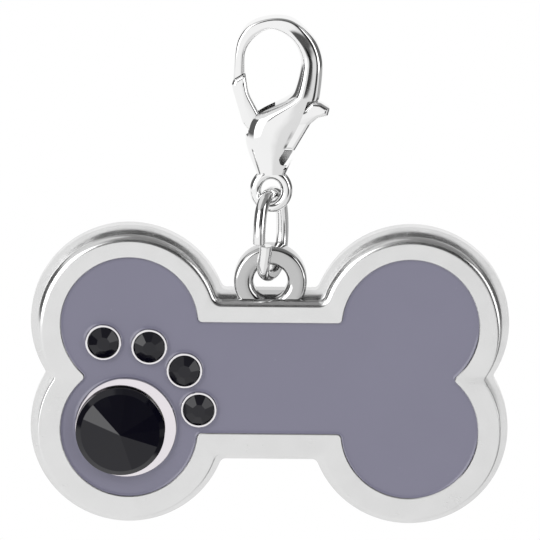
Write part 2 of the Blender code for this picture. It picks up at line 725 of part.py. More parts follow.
def make_pin(group, finish):
    """Pressed pin, blind in front and flush at the back."""
    front = PIN_BLIND_WALL - CLASP_HALF_DEPTH + SEAT_GAP
    back = CLASP_HALF_DEPTH - PIN_BACK_DROP
    pin = drum("lever_pin", PIN_RADIUS, front, back, PIVOT_X, PIVOT_Z, group, PIN_STEPS)
    pin.data.materials.append(finish)
    shade(pin)
    return pin


def make_spring(group, finish):
    """Coil spring between the floor of the slot and the foot of the lever."""
    clear = SPRING_SEAT_GAP + SPRING_WIRE / 2
    bottom = SPRING_FLOOR_Z + clear
    top = LEVER_FOOT_Z - clear
    steps = int(SPRING_TURNS * SPRING_POINTS_PER_TURN)
    points = []
    for step in range(steps + 1):
        turn = 2 * math.pi * step / SPRING_POINTS_PER_TURN
        height = bottom + (top - bottom) * step / steps
        points.append((SPRING_X + SPRING_RADIUS * math.cos(turn), SPRING_RADIUS * math.sin(turn), height))
    spring = round_wire("lever_spring", points, SPRING_WIRE / 2, 1, group, finish)
    shade(spring, 60.0)
    return spring


def hang(items, pivot, name, group, parent=None):
    """Parent pieces to an empty that stands on their joint axis."""
    carrier = bpy.data.objects.new(name, None)
    group.objects.link(carrier)
    carrier.empty_display_size = 2 * MM
    carrier.location = pivot
    if parent is not None:
        carrier.parent = parent
        carrier.location = Vector(pivot) - parent.matrix_world.translation
    bpy.context.view_layer.update()
    for item in items:
        item.parent = carrier
        item.location = item.location - carrier.matrix_world.translation
    return carrier


def main():
    """Build every piece at rest, hanging from the origin."""
    clear_scene()
    group = new_collection("dog_tag")
    tools = new_collection("cutters")
    cast_metal = new_material("tag_metal", (0.80, 0.79, 0.80), 0.16, 1.0)
    clasp_metal = new_material("clasp_metal", (0.82, 0.82, 0.83), 0.14, 1.0)
    wire_metal = new_material("wire_metal", (0.84, 0.84, 0.85), 0.12, 1.0)
    steel = new_material("pin_steel", (0.60, 0.61, 0.62), 0.30, 1.0)
    enamel = new_material("grey_enamel", (0.235, 0.225, 0.285), 0.22, 0.0)
    glass = new_material("black_glass", (0.020, 0.019, 0.024), 0.05, 0.0)
    cement = new_material("clear_cement", (0.55, 0.53, 0.50), 0.35, 0.0)

    make_clasp_body(group, tools, clasp_metal)
    make_lever(group, tools, clasp_metal)
    make_pin(group, steel)
    make_spring(group, steel)

    jump_ring = round_wire("jump_ring", jump_ring_points(), WIRE_RADIUS, 4, group, wire_metal)
    shade(jump_ring, 50.0)
    tag_pieces = [make_tag_body(group, tools, cast_metal), make_filling(group, tools, enamel)]
    tag_pieces += make_pad_stone(group, tools, glass, cement)
    tag_pieces += make_toe_stones(group, glass, cement)

    bow_centre = (0.0, 0.0, JUMP_TOP_Z - JUMP_BOW_RADIUS)
    ring_carrier = hang([jump_ring], bow_centre, "jump_ring_pivot", group)
    hang(tag_pieces, (0.0, 0.0, BAIL_Z), "tag_pivot", group, ring_carrier)


main()
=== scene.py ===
"""Studio scene of a bone-shaped pet tag that hangs from a small lobster clasp.

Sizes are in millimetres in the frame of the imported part: +Z up, the front of
the tag faces -Y, and the origin is the inside top of the hook. Meshes are put
into the scene in metres.
"""

from __future__ import annotations

import json
import logging
import math
from dataclasses import dataclass
from enum import Enum
from typing import NamedTuple, Sequence

import bmesh
import bpy
from mathutils import Matrix, Vector

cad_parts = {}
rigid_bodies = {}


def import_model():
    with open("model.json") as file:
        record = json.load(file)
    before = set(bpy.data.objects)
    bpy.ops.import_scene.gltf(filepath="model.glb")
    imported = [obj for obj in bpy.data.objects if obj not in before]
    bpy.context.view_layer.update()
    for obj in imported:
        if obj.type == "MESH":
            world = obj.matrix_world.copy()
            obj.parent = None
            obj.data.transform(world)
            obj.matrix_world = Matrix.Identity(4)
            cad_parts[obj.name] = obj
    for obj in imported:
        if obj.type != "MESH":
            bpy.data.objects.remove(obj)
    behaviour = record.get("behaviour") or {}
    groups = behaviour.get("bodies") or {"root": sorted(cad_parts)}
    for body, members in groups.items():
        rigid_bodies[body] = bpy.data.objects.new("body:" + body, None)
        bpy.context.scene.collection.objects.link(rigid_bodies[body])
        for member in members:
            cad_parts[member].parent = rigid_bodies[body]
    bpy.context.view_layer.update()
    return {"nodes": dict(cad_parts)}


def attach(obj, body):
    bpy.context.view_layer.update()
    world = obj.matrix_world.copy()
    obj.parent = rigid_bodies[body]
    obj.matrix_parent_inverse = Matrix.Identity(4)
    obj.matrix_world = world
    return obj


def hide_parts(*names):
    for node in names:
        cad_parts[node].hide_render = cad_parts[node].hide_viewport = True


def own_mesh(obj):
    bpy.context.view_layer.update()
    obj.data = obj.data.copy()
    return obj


MM = 0.001
MERGE_DISTANCE = 0.0005
SLACK = 0.01
STRAIGHT_CORNER = math.radians(89.0)
FILLET_SHARE = 0.48
SMALLEST_FILLET = 0.001
NORMAL_WEIGHT = 60
WHITE = (1.0, 1.0, 1.0, 1.0)
LOG = logging.getLogger("dog_tag")

Point = tuple[float, float]
Corner = tuple[float, float, float]
Profile = list[Point]
Ring = list[bmesh.types.BMVert]
Socket = bpy.types.NodeSocket


class Join(Enum):
    """How a tool changes a piece."""

    UNION = "UNION"
    DIFFERENCE = "DIFFERENCE"


class Solver(Enum):
    """Blender's ways to join closed shapes."""

    MANIFOLD = "MANIFOLD"
    EXACT = "EXACT"


class Polish(Enum):
    """How brightly a plated surface is polished, as its lowest and highest roughness."""

    MIRROR = (0.035, 0.10)
    BRIGHT = (0.06, 0.15)
    SOFT = (0.17, 0.27)
    SATIN = (0.22, 0.38)


def add_object(name: str, data: bpy.types.ID) -> bpy.types.Object:
    """Put a mesh, curve, lamp or camera in the scene.

    Args:
        name: Name of the object.
        data: What the object shows.

    Returns:
        The new object.
    """
    item = bpy.data.objects.new(name, data)
    bpy.context.scene.collection.objects.link(item)
    return item


def baked(item: bpy.types.Object) -> bpy.types.Object:
    """Replace an object by a plain mesh object of its evaluated shape.

    Args:
        item: A curve, or a mesh with modifiers.

    Returns:
        The new mesh object, with the same name.
    """
    graph = bpy.context.evaluated_depsgraph_get()
    graph.update()
    mesh = bpy.data.meshes.new_from_object(item.evaluated_get(graph))
    mesh.transform(item.matrix_world)
    name = item.name
    bpy.data.objects.remove(item, do_unlink=True)
    work = bmesh.new()
    work.from_mesh(mesh)
    bmesh.ops.remove_doubles(work, verts=work.verts, dist=MERGE_DISTANCE)
    bmesh.ops.recalc_face_normals(work, faces=work.faces)
    work.to_mesh(mesh)
    work.free()
    return add_object(name, mesh)


def combine(item: bpy.types.Object, tool: bpy.types.Object, join: Join,
            solver: Solver = Solver.MANIFOLD) -> bpy.types.Object:
    """Join a tool to a piece, or cut it away, and use the tool up.

    Args:
        item: The piece.
        tool: The closed shape that is added or taken away.
        join: Whether the tool is added or taken away.
        solver: How Blender works out the new shape.

    Returns:
        The changed piece.
    """
    modifier = item.modifiers.new(tool.name, "BOOLEAN")
    modifier.operation = join.value
    modifier.solver = solver.value
    modifier.object = tool
    result = baked(item)
    bpy.data.objects.remove(tool, do_unlink=True)
    return result


def arc(centre: Point, radius: float, start: float, end: float, steps: int) -> Profile:
    """Points of an arc, both ends included.

    Args:
        centre: Centre of the arc.
        radius: Radius of the arc.
        start: Angle of the first point in degrees.
        end: Angle of the last point in degrees.
        steps: Steps from the first point to the last.

    Returns:
        The points.
    """
    points = []
    for step in range(steps + 1):
        angle = math.radians(start + (end - start) * step / steps)
        points.append((centre[0] + radius * math.cos(angle), centre[1] + radius * math.sin(angle)))
    return points


def circle(centre: Point, radius: float, points: int) -> Profile:
    """So many points once round a centre."""
    return arc(centre, radius, 0.0, 360.0 - 360.0 / points, points - 1)


def filleted(corners: Sequence[Corner], steps: int = 8) -> Profile:
    """Closed outline from corners that each carry a fillet radius.

    Args:
        corners: (x, z, radius) of each corner in order.
        steps: Steps along each fillet.

    Returns:
        The points of the outline.
    """
    points: list[Vector] = []
    for index, (x, z, radius) in enumerate(corners):
        corner = Vector((x, z))
        before = Vector(corners[index - 1][:2]) - corner
        after = Vector(corners[(index + 1) % len(corners)][:2]) - corner
        half_angle = before.angle(after) / 2
        reach = 0.0
        if radius > 0.0 and half_angle < STRAIGHT_CORNER:
            longest = FILLET_SHARE * min(before.length, after.length)
            reach = min(radius / math.tan(half_angle), longest)
        if reach < SMALLEST_FILLET:
            points.append(corner)
            continue
        before, after = before.normalized(), after.normalized()
        start, end = corner + before * reach, corner + after * reach
        centre = corner + (before + after).normalized() * (reach / math.cos(half_angle))
        for step in range(steps + 1):
            ray = (start - centre).lerp(end - centre, step / steps).normalized()
            points.append(centre + ray * (start - centre).length)
    return [(point.x, point.y) for point in points]


def flat_plate(name: str, outlines: Sequence[Profile], front_y: float, back_y: float,
               rounding: float = 0.0, rounds: int = 4) -> bpy.types.Object:
    """Flat plate between two depths, with rounded edges.

    Args:
        name: Name of the object.
        outlines: Closed (x, z) outlines; an outline inside another is a hole.
        front_y: Depth of the front face.
        back_y: Depth of the back face.
        rounding: Radius of the edges, or 0.
        rounds: Steps along each rounded edge.

    Returns:
        The plate as a mesh object.
    """
    data = bpy.data.curves.new(name, "CURVE")
    data.dimensions = "2D"
    data.fill_mode = "BOTH"
    data.extrude = (back_y - front_y) / 2 - rounding
    if rounding > 0.0:
        data.bevel_depth = rounding
        data.bevel_resolution = rounds
        data.offset = -rounding
    for outline in outlines:
        spline = data.splines.new("POLY")
        spline.points.add(len(outline) - 1)
        for point, (x, z) in zip(spline.points, outline):
            point.co = (x, z, 0.0, 1.0)
        spline.use_cyclic_u = True
    item = add_object(name, data)
    item.rotation_euler = (math.pi / 2, 0.0, 0.0)
    item.location = (0.0, (front_y + back_y) / 2, 0.0)
    bpy.context.view_layer.update()
    return baked(item)


class Skin:
    """A mesh that grows from rings of points."""

    def __init__(self) -> None:
        """Start with no points."""
        self.work = bmesh.new()

    def ring(self, points: Sequence[Sequence[float]]) -> Ring:
        """Add points and return them as a ring; one point makes a pole."""
        return [self.work.verts.new(point) for point in points]

    def bridge(self, lower: Ring, upper: Ring) -> None:
        """Join two rings with faces; either may be a pole.

        Args:
            lower: The first ring.
            upper: The second ring, with as many points unless one is a pole.
        """
        count = max(len(lower), len(upper))
        for index in range(count):
            following = (index + 1) % count
            corners = [lower[index % len(lower)], lower[following % len(lower)],
                       upper[following % len(upper)], upper[index % len(upper)]]
            self.work.faces.new(list(dict.fromkeys(corners)))

    def chain(self, rings: Sequence[Ring], closed: bool = False, capped: bool = False) -> None:
        """Join each ring to the next.

        Args:
            rings: The rings in order.
            closed: Whether the last ring joins the first.
            capped: Whether a flat face closes the first ring and the last.
        """
        for lower, upper in zip(rings, rings[1:]):
            self.bridge(lower, upper)
        if closed:
            self.bridge(rings[-1], rings[0])
        if capped:
            self.cap(rings[0])
            self.cap(rings[-1])

    def cap(self, ring: Ring) -> None:
        """Close a ring with one face."""
        self.work.faces.new(ring)

    def fill_between(self, rings: Sequence[Ring]) -> None:
        """Close flat rings, of which the later ones are holes in the first.

        Args:
            rings: The rim of the flat face, then its holes.
        """
        edges = []
        for ring in rings:
            for pair in zip(ring, ring[1:] + ring[:1]):
                edges.append(self.work.edges.get(pair) or self.work.edges.new(pair))
        bmesh.ops.triangle_fill(self.work, use_beauty=True, edges=edges)

    def to_object(self, name: str) -> bpy.types.Object:
        """Turn the skin into an object, and use the skin up.

        Args:
            name: Name of the object.

        Returns:
            The object.
        """
        bmesh.ops.recalc_face_normals(self.work, faces=self.work.faces)
        mesh = bpy.data.meshes.new(name)
        self.work.to_mesh(mesh)
        self.work.free()
        return add_object(name, mesh)


def turned(name: str, profile: Profile, centre: Point, steps: int,
           closed: bool = False) -> bpy.types.Object:
    """Solid turned about an axis along Y.

    Args:
        name: Name of the object.
        profile: (radius, depth) points, depth counting towards the back.
        centre: (x, z) of the axis.
        steps: Points once round.
        closed: Whether the profile runs back to its start, as in a ring.

    Returns:
        The turned object.
    """
    skin = Skin()
    rings = []
    for radius, depth in profile:
        points = []
        for step in range(steps if radius > 0.0 else 1):
            angle = 2 * math.pi * step / steps
            points.append((centre[0] + radius * math.cos(angle), depth,
                           centre[1] + radius * math.sin(angle)))
        rings.append(skin.ring(points))
    skin.chain(rings, closed)
    return skin.to_object(name)


def swept_wire(name: str, line: Sequence[Vector], radius: float, sides: int,
               edge: float) -> bpy.types.Object:
    """Round wire along a line, with a small chamfer at each end.

    Args:
        name: Name of the object.
        line: Points of the centre line.
        radius: Radius of the wire.
        sides: Points round the wire.
        edge: Size of the chamfer.

    Returns:
        The wire as a mesh object.
    """
    last = len(line) - 1
    tangents = [(line[min(index + 1, last)] - line[max(index - 1, 0)]).normalized()
                for index in range(len(line))]
    normal = tangents[0].orthogonal().normalized()
    skin = Skin()
    rings = []
    for index, (point, tangent) in enumerate(zip(line, tangents)):
        normal = (normal - tangent * normal.dot(tangent)).normalized()
        across = tangent.cross(normal)
        sizes = {0: [(0.0, radius - edge), (edge, radius)],
                 last: [(-edge, radius), (0.0, radius - edge)]}.get(index, [(0.0, radius)])
        for shift, reach in sizes:
            points = []
            for side in range(sides):
                angle = 2 * math.pi * side / sides
                ray = normal * math.cos(angle) + across * math.sin(angle)
                points.append(point + tangent * shift + ray * reach)
            rings.append(skin.ring(points))
    skin.chain(rings, capped=True)
    return skin.to_object(name)


def smooth_rail(points: Sequence[Vector], steps: int) -> list[Vector]:
    """Cubic curve through points.

    Args:
        points: The points to pass through.
        steps: Steps from each to the next.

    Returns:
        The points along the curve.
    """
    result = []
    last = len(points) - 1
    for index in range(last):
        before, start = points[max(index - 1, 0)], points[index]
        end, after = points[index + 1], points[min(index + 2, last)]
        for step in range(steps):
            t = step / steps
            result.append(0.5 * (2 * start + (end - before) * t
                                 + (2 * before - 5 * start + 4 * end - after) * t ** 2
                                 + (3 * start - before - 3 * end + after) * t ** 3))
    result.append(points[last])
    return result


def finish_piece(item: bpy.types.Object, body: str, material: bpy.types.Material,
                 nodes: Sequence[str], sharp: float = 35.0, even: bool = True) -> bpy.types.Object:
    """Scale a piece to metres, smooth it, dress it and hang it on its body.

    Args:
        item: The piece, made in millimetres.
        body: The body that it moves with.
        material: Its finish.
        nodes: The CAD nodes that it stands for.
        sharp: Angle in degrees from which an edge stays sharp.
        even: Whether large faces lead the shading of the small ones beside them.

    Returns:
        The finished piece.
    """
    item.data.transform(Matrix.Scale(MM, 4))
    item.data.materials.clear()
    item.data.materials.append(material)
    item.data.shade_smooth()
    item.data.set_sharp_from_angle(angle=math.radians(sharp))
    if even:
        modifier = item.modifiers.new("even_normals", "WEIGHTED_NORMAL")
        modifier.mode = "FACE_AREA"
        modifier.weight = NORMAL_WEIGHT
        modifier.keep_sharp = True
    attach(item, body)
    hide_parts(*nodes)
    return item


class NodeBench:
    """Short calls for making shader nodes in one tree."""

    def __init__(self, tree: bpy.types.NodeTree) -> None:
        """Work on a tree of a material, world or node group."""
        self.tree = tree

    def plug(self, socket: Socket, value: Socket | float | Sequence[float]) -> None:
        """Link a socket to an input, or set the input to a plain value.

        Args:
            socket: The input.
            value: What it takes.
        """
        if isinstance(value, bpy.types.NodeSocket):
            self.tree.links.new(value, socket)
        else:
            socket.default_value = value

    def add(self, kind: str, **settings: object) -> bpy.types.Node:
        """Add a node.

        Args:
            kind: Blender's name of the kind of node.
            settings: Properties of the node.

        Returns:
            The node.
        """
        node = self.tree.nodes.new(kind)
        for name, value in settings.items():
            setattr(node, name, value)
        return node

    def feed(self, node: bpy.types.Node, **inputs: object) -> bpy.types.Node:
        """Set or link inputs by name, with underscores for spaces.

        Args:
            node: The node to feed.
            inputs: A socket to link, or a plain value, for each input.

        Returns:
            The same node.
        """
        for name, value in inputs.items():
            self.plug(node.inputs[name.replace("_", " ")], value)
        return node

    def math(self, operation: str, *values: Socket | float) -> Socket:
        """Add a math node.

        Args:
            operation: What it works out.
            values: Its sockets or numbers in order.

        Returns:
            Its output.
        """
        node = self.add("ShaderNodeMath", operation=operation)
        for socket, value in zip(node.inputs, values):
            self.plug(socket, value)
        return node.outputs[0]

    def ramp(self, value: Socket, low: float, high: float, start: float = 0.0,
             end: float = 1.0) -> Socket:
        """Smooth step from one level to another.

        Args:
            value: The value that moves the level.
            low: Value at which the step starts.
            high: Value at which it ends.
            start: Level under the step.
            end: Level over the step.

        Returns:
            The level.
        """
        node = self.add("ShaderNodeMapRange", interpolation_type="SMOOTHSTEP")
        self.feed(node, Value=value, From_Min=low, From_Max=high, To_Min=start, To_Max=end)
        return node.outputs["Result"]

    def band(self, value: Socket, limits: Point, soft: float) -> Socket:
        """Mask of 1 between two limits, with soft edges.

        Args:
            value: The value that is tested.
            limits: Where the band starts and ends.
            soft: Half the width of each edge.

        Returns:
            The mask.
        """
        low, high = limits
        return self.math("MULTIPLY", self.ramp(value, low - soft, low + soft),
                         self.ramp(value, high - soft, high + soft, 1.0, 0.0))

    def without(self, mask: Socket, share: float) -> Socket:
        """Full level, less a share of it under a mask."""
        return self.math("SUBTRACT", 1.0, self.math("MULTIPLY", mask, share))

    def noise(self, vector: Socket, per_metre: float | Socket, detail: float,
              roughness: float = 0.5) -> Socket:
        """Value of a noise texture.

        Args:
            vector: Place on the piece.
            per_metre: How many features there are to the metre.
            detail: Depth of the finer noise.
            roughness: Strength of the finer noise.

        Returns:
            The value.
        """
        node = self.add("ShaderNodeTexNoise")
        self.feed(node, Vector=vector, Scale=per_metre, Detail=detail, Roughness=roughness)
        return node.outputs["Fac"]

    def place(self, scale: Sequence[float] = (1.0, 1.0, 1.0)) -> Socket:
        """Place on the piece, in metres.

        Args:
            scale: How far each direction is stretched.

        Returns:
            The place.
        """
        where = self.add("ShaderNodeTexCoord")
        mapping = self.add("ShaderNodeMapping")
        self.feed(mapping, Vector=where.outputs["Object"], Scale=scale)
        return mapping.outputs["Vector"]

    def bump(self, height: Socket, depth: float, strength: float = 1.0) -> Socket:
        """Normal of a fine relief.

        Args:
            height: Height of the relief, from 0 to 1.
            depth: Depth of the relief in millimetres.
            strength: Share of the relief that shows.

        Returns:
            The normal.
        """
        node = self.add("ShaderNodeBump")
        self.feed(node, Strength=strength, Distance=depth * MM, Height=height)
        return node.outputs["Normal"]

    def group(self, tree: bpy.types.NodeTree, **inputs: object) -> dict[str, Socket]:
        """Place a node group with its own values, and return its outputs by name."""
        node = self.feed(self.add("ShaderNodeGroup", node_tree=tree), **inputs)
        return dict(node.outputs.items())


class GroupBench(NodeBench):
    """Bench for a node group with named inputs and outputs."""

    def __init__(self, name: str, inputs: dict[str, float | tuple], outputs: Sequence[str]) -> None:
        """Start a group.

        Args:
            name: Name of the group.
            inputs: Each input's name with its first value; a tuple makes a colour.
            outputs: Names of the outputs; one called Color is a colour.
        """
        super().__init__(bpy.data.node_groups.new(name, "ShaderNodeTree"))
        for label, value in inputs.items():
            kind = "NodeSocketColor" if isinstance(value, tuple) else "NodeSocketFloat"
            socket = self.tree.interface.new_socket(name=label, in_out="INPUT", socket_type=kind)
            socket.default_value = value
        for label in outputs:
            kind = "NodeSocketColor" if label == "Color" else "NodeSocketFloat"
            self.tree.interface.new_socket(name=label, in_out="OUTPUT", socket_type=kind)
        self.values = self.tree.nodes.new("NodeGroupInput").outputs
        self.result = self.tree.nodes.new("NodeGroupOutput").inputs


def polishing_marks() -> bpy.types.NodeTree:
    """Group of cloudy polish and hairline marks.

    Returns:
        The group, with the outputs Roughness and Height.
    """
    bench = GroupBench("polishing_marks", {"Lowest": 0.05, "Highest": 0.15, "Marks": 0.3},
                       ("Roughness", "Height"))
    lowest, highest, marks = bench.values["Lowest"], bench.values["Highest"], bench.values["Marks"]
    clouds = bench.noise(bench.place(), per_metre=420.0, detail=4.0, roughness=0.55)
    swirl = bench.noise(bench.place((1.0, 1.0, 0.25)), per_metre=2600.0, detail=3.0, roughness=0.6)
    hairs = bench.noise(bench.place((0.06, 1.0, 1.0)), per_metre=9000.0, detail=2.0)
    mask = bench.math("MULTIPLY", bench.ramp(hairs, low=0.60, high=0.72),
                      bench.ramp(swirl, low=0.45, high=0.65))
    spread = bench.math("SUBTRACT", highest, lowest)
    cloud_part = bench.math("MULTIPLY", bench.ramp(clouds, low=0.30, high=0.75), spread)
    mark_part = bench.math("MULTIPLY", bench.math("MULTIPLY", mask, marks), spread)
    rough = bench.math("ADD", bench.math("ADD", lowest, cloud_part), mark_part)
    height = bench.math("SUBTRACT", bench.math("MULTIPLY", clouds, 0.6),
                        bench.math("MULTIPLY", mask, bench.math("MULTIPLY", marks, 0.4)))
    bench.plug(bench.result["Roughness"], rough)
    bench.plug(bench.result["Height"], height)
    return bench.tree


def colour_drift() -> bpy.types.NodeTree:
    """Group that lets a colour drift a little over the surface.

    Returns:
        The group, with the output Color.
    """
    bench = GroupBench("colour_drift", {"Color": (0.5, 0.5, 0.5, 1.0), "Amount": 0.05,
                                        "Per Metre": 150.0}, ("Color",))
    clouds = bench.noise(bench.place(), bench.values["Per Metre"], detail=3.0, roughness=0.6)
    swing = bench.math("MULTIPLY", bench.math("SUBTRACT", clouds, 0.5), bench.values["Amount"])
    level = bench.math("ADD", 1.0, bench.math("MULTIPLY", swing, 2.0))
    scaled = bench.add("ShaderNodeVectorMath", operation="SCALE")
    bench.plug(scaled.inputs[0], bench.values["Color"])
    bench.plug(scaled.inputs["Scale"], level)
    bench.plug(bench.result["Color"], scaled.outputs["Vector"])
    return bench.tree


def settled_dust() -> bpy.types.NodeTree:
    """Group of sparse fine specks.

    Returns:
        The group, with the output Mask.
    """
    bench = GroupBench("settled_dust", {"Per Metre": 900.0, "Size": 0.06}, ("Mask",))
    specks = bench.add("ShaderNodeTexVoronoi", feature="F1")
    bench.feed(specks, Vector=bench.place(), Scale=bench.values["Per Metre"])
    near = bench.math("LESS_THAN", specks.outputs["Distance"], bench.values["Size"])
    areas = bench.noise(bench.place(), per_metre=300.0, detail=2.0)
    patch = bench.ramp(areas, low=0.50, high=0.62)
    bench.plug(bench.result["Mask"], bench.math("MULTIPLY", near, patch))
    return bench.tree


class Effects:
    """The shared node groups, each made once."""

    def __init__(self) -> None:
        """Make the groups."""
        self.marks = polishing_marks()
        self.drift = colour_drift()
        self.dust = settled_dust()


def new_surface(name: str) -> tuple[bpy.types.Material, NodeBench, bpy.types.Node]:
    """Start a material.

    Args:
        name: Name of the material.

    Returns:
        The material, its bench and its Principled shader.
    """
    material = bpy.data.materials.new(name)
    material.use_nodes = True
    return material, NodeBench(material.node_tree), material.node_tree.nodes["Principled BSDF"]


@dataclass(frozen=True)
class PlatedMetal:
    """Nickel plate over a casting or wire."""

    name: str
    colour: tuple[float, float, float]
    polish: Polish
    ripple: float = 0.006
    marks: float = 0.5
    mark_height: float = 0.15

    def make(self, effects: Effects) -> bpy.types.Material:
        """Make the material.

        Args:
            effects: The shared node groups.

        Returns:
            The plated metal.
        """
        material, bench, shader = new_surface(self.name)
        low, high = self.polish.value
        marks = bench.group(effects.marks, Lowest=low, Highest=high, Marks=self.marks)
        drift = bench.group(effects.drift, Color=(*self.colour, 1.0), Amount=0.03, Per_Metre=260.0)
        wave = bench.noise(bench.place(), per_metre=650.0, detail=2.0, roughness=0.4)
        fine = bench.math("MULTIPLY", marks["Height"], self.mark_height)
        height = bench.math("ADD", wave, fine)
        bench.feed(shader, Base_Color=drift["Color"], Metallic=1.0, Roughness=marks["Roughness"],
                   Normal=bench.bump(height, self.ripple))
        return material


@dataclass(frozen=True)
class CastResin:
    """Coloured resin filling with a level, glossy top."""

    name: str = "violet_grey_resin"
    colour: tuple[float, float, float] = (0.182, 0.177, 0.240)
    dust_colour: tuple[float, float, float] = (0.5, 0.5, 0.55)
    dust_cover: float = 0.10
    index: float = 1.50
    ripple: float = 0.008

    def make(self, effects: Effects) -> bpy.types.Material:
        """Make the material.

        Args:
            effects: The shared node groups.

        Returns:
            The resin.
        """
        material, bench, shader = new_surface(self.name)
        drift = bench.group(effects.drift, Color=(*self.colour, 1.0), Amount=0.045, Per_Metre=95.0)
        marks = bench.group(effects.marks, Lowest=0.10, Highest=0.22, Marks=0.25)
        dust = bench.group(effects.dust, Per_Metre=1400.0, Size=0.07)
        dusty = bench.add("ShaderNodeMix", data_type="RGBA")
        bench.plug(dusty.inputs["Factor"], bench.math("MULTIPLY", dust["Mask"], self.dust_cover))
        bench.plug(dusty.inputs["A"], drift["Color"])
        bench.plug(dusty.inputs["B"], (*self.dust_colour, 1.0))
        wave = bench.noise(bench.place(), per_metre=180.0, detail=2.0)
        bench.feed(shader, Base_Color=dusty.outputs["Result"], Roughness=marks["Roughness"],
                   Normal=bench.bump(wave, self.ripple), IOR=self.index)
        return material


@dataclass(frozen=True)
class BlackGlass:
    """Opaque black glass, cut in facets."""

    name: str = "black_cut_glass"
    colour: tuple[float, float, float] = (0.0020, 0.0018, 0.0052)
    index: float = 1.45
    dust_roughness: float = 0.25
    ripple: float = 0.0006

    def make(self, effects: Effects) -> bpy.types.Material:
        """Make the material.

        Args:
            effects: The shared node groups.

        Returns:
            The glass.
        """
        material, bench, shader = new_surface(self.name)
        drift = bench.group(effects.drift, Color=(*self.colour, 1.0), Amount=0.20, Per_Metre=700.0)
        marks = bench.group(effects.marks, Lowest=0.02, Highest=0.07, Marks=0.6)
        dust = bench.group(effects.dust, Per_Metre=2600.0, Size=0.05)
        rough = bench.math("ADD", marks["Roughness"],
                           bench.math("MULTIPLY", dust["Mask"], self.dust_roughness))
        bench.feed(shader, Base_Color=drift["Color"], Roughness=rough, IOR=self.index,
                   Normal=bench.bump(marks["Height"], self.ripple))
        return material


@dataclass(frozen=True)
class CuredCement:
    """Cured adhesive under the stones."""

    name: str = "cured_cement"
    colour: tuple[float, float, float] = (0.52, 0.50, 0.46)
    ripple: float = 0.02

    def make(self, effects: Effects) -> bpy.types.Material:
        """Make the material.

        Args:
            effects: The shared node groups.

        Returns:
            The cement.
        """
        material, bench, shader = new_surface(self.name)
        drift = bench.group(effects.drift, Color=(*self.colour, 1.0), Amount=0.12, Per_Metre=900.0)
        marks = bench.group(effects.marks, Lowest=0.28, Highest=0.50, Marks=0.2)
        grain = bench.noise(bench.place(), per_metre=1800.0, detail=3.0)
        bench.feed(shader, Base_Color=drift["Color"], Roughness=marks["Roughness"],
                   Normal=bench.bump(grain, self.ripple))
        return material


@dataclass(frozen=True)
class Finishes:
    """Every finish of the tag, made once and shared by its pieces."""

    casting: bpy.types.Material
    seat: bpy.types.Material
    cups: bpy.types.Material
    bail: bpy.types.Material
    inside: bpy.types.Material
    clasp: bpy.types.Material
    wire: bpy.types.Material
    steel: bpy.types.Material
    resin: bpy.types.Material
    glass: bpy.types.Material
    cement: bpy.types.Material

    @classmethod
    def make(cls) -> Finishes:
        """Make every material.

        Returns:
            The materials together.
        """
        effects = Effects()
        recipes = {
            "casting": PlatedMetal("plated_casting", (0.745, 0.745, 0.745), Polish.SOFT),
            "seat": PlatedMetal("plated_seat", (0.785, 0.745, 0.78), Polish.BRIGHT, ripple=0.002),
            # The toe cups are the same plate as the casting: their lower roughness is real polish,
            # their lighter colour is painted highlight.
            "cups": PlatedMetal("plated_cups_painted_highlight", (0.84, 0.82, 0.84), Polish.BRIGHT, ripple=0.012),
            # The bail is the same plate as the casting; its darker colour is painted shade on the
            # same metal.
            "bail": PlatedMetal("plated_bail_painted_shade", (0.52, 0.52, 0.52), Polish.BRIGHT, ripple=0.010),
            # The clasp's slot walls: real satin polish, and a darker colour that is painted shade
            # in the slot.
            "inside": PlatedMetal("plated_inside_painted_shade", (0.42, 0.42, 0.42), Polish.SATIN, ripple=0.02,
                                  marks=1.0),
            "clasp": PlatedMetal("plated_clasp", (0.88, 0.88, 0.88), Polish.MIRROR, ripple=0.009),
            "wire": PlatedMetal("plated_wire", (0.86, 0.86, 0.86), Polish.MIRROR, ripple=0.004),
            "steel": PlatedMetal("spring_steel", (0.52, 0.53, 0.54), Polish.SATIN, ripple=0.002,
                                 marks=1.0),
            "resin": CastResin(),
            "glass": BlackGlass(),
            "cement": CuredCement(),
        }
        return cls(**{part: recipe.make(effects) for part, recipe in recipes.items()})


@dataclass(frozen=True)
class BoneShape:
    """Outline of the bone, from four lobes and a shaft."""

    lobe_radius: float = 5.73
    spacing_x: float = 23.5
    spacing_z: float = 9.03
    half_height: float = 4.76
    centre_z: float = -29.53
    lobe_steps: int = 44
    fillet_steps: int = 8

    def outline(self, offset: float, fillet: float) -> Profile:
        """Closed outline grown by an offset.

        Args:
            offset: How far outside the edge of the filling.
            fillet: Radius of the inside corners.

        Returns:
            The (x, z) points, always equally many.
        """
        radius, half_height = self.lobe_radius + offset, self.half_height + offset
        lobe = (self.spacing_x / 2, self.spacing_z / 2)
        reach, waist_z = radius + fillet, half_height + fillet
        waist = (lobe[0] - math.sqrt(reach ** 2 - (waist_z - lobe[1]) ** 2), waist_z)
        notch = (lobe[0] + math.sqrt(reach ** 2 - lobe[1] ** 2), 0.0)
        to_lobe = math.degrees(math.atan2(lobe[1] - waist[1], lobe[0] - waist[0]))
        to_notch = math.degrees(math.atan2(notch[1] - lobe[1], notch[0] - lobe[0]))
        quarter = arc(waist, fillet, -90.0, to_lobe, self.fillet_steps)
        quarter += arc(lobe, radius, to_lobe + 180.0, to_notch, self.lobe_steps)[1:]
        quarter += arc(notch, fillet, to_notch + 180.0, 180.0, self.fillet_steps)[1:]
        right = quarter + [(x, -z) for x, z in reversed(quarter[:-1])]
        left = [(-x, z) for x, z in reversed(right)]
        return [(x, z + self.centre_z) for x, z in right + left]


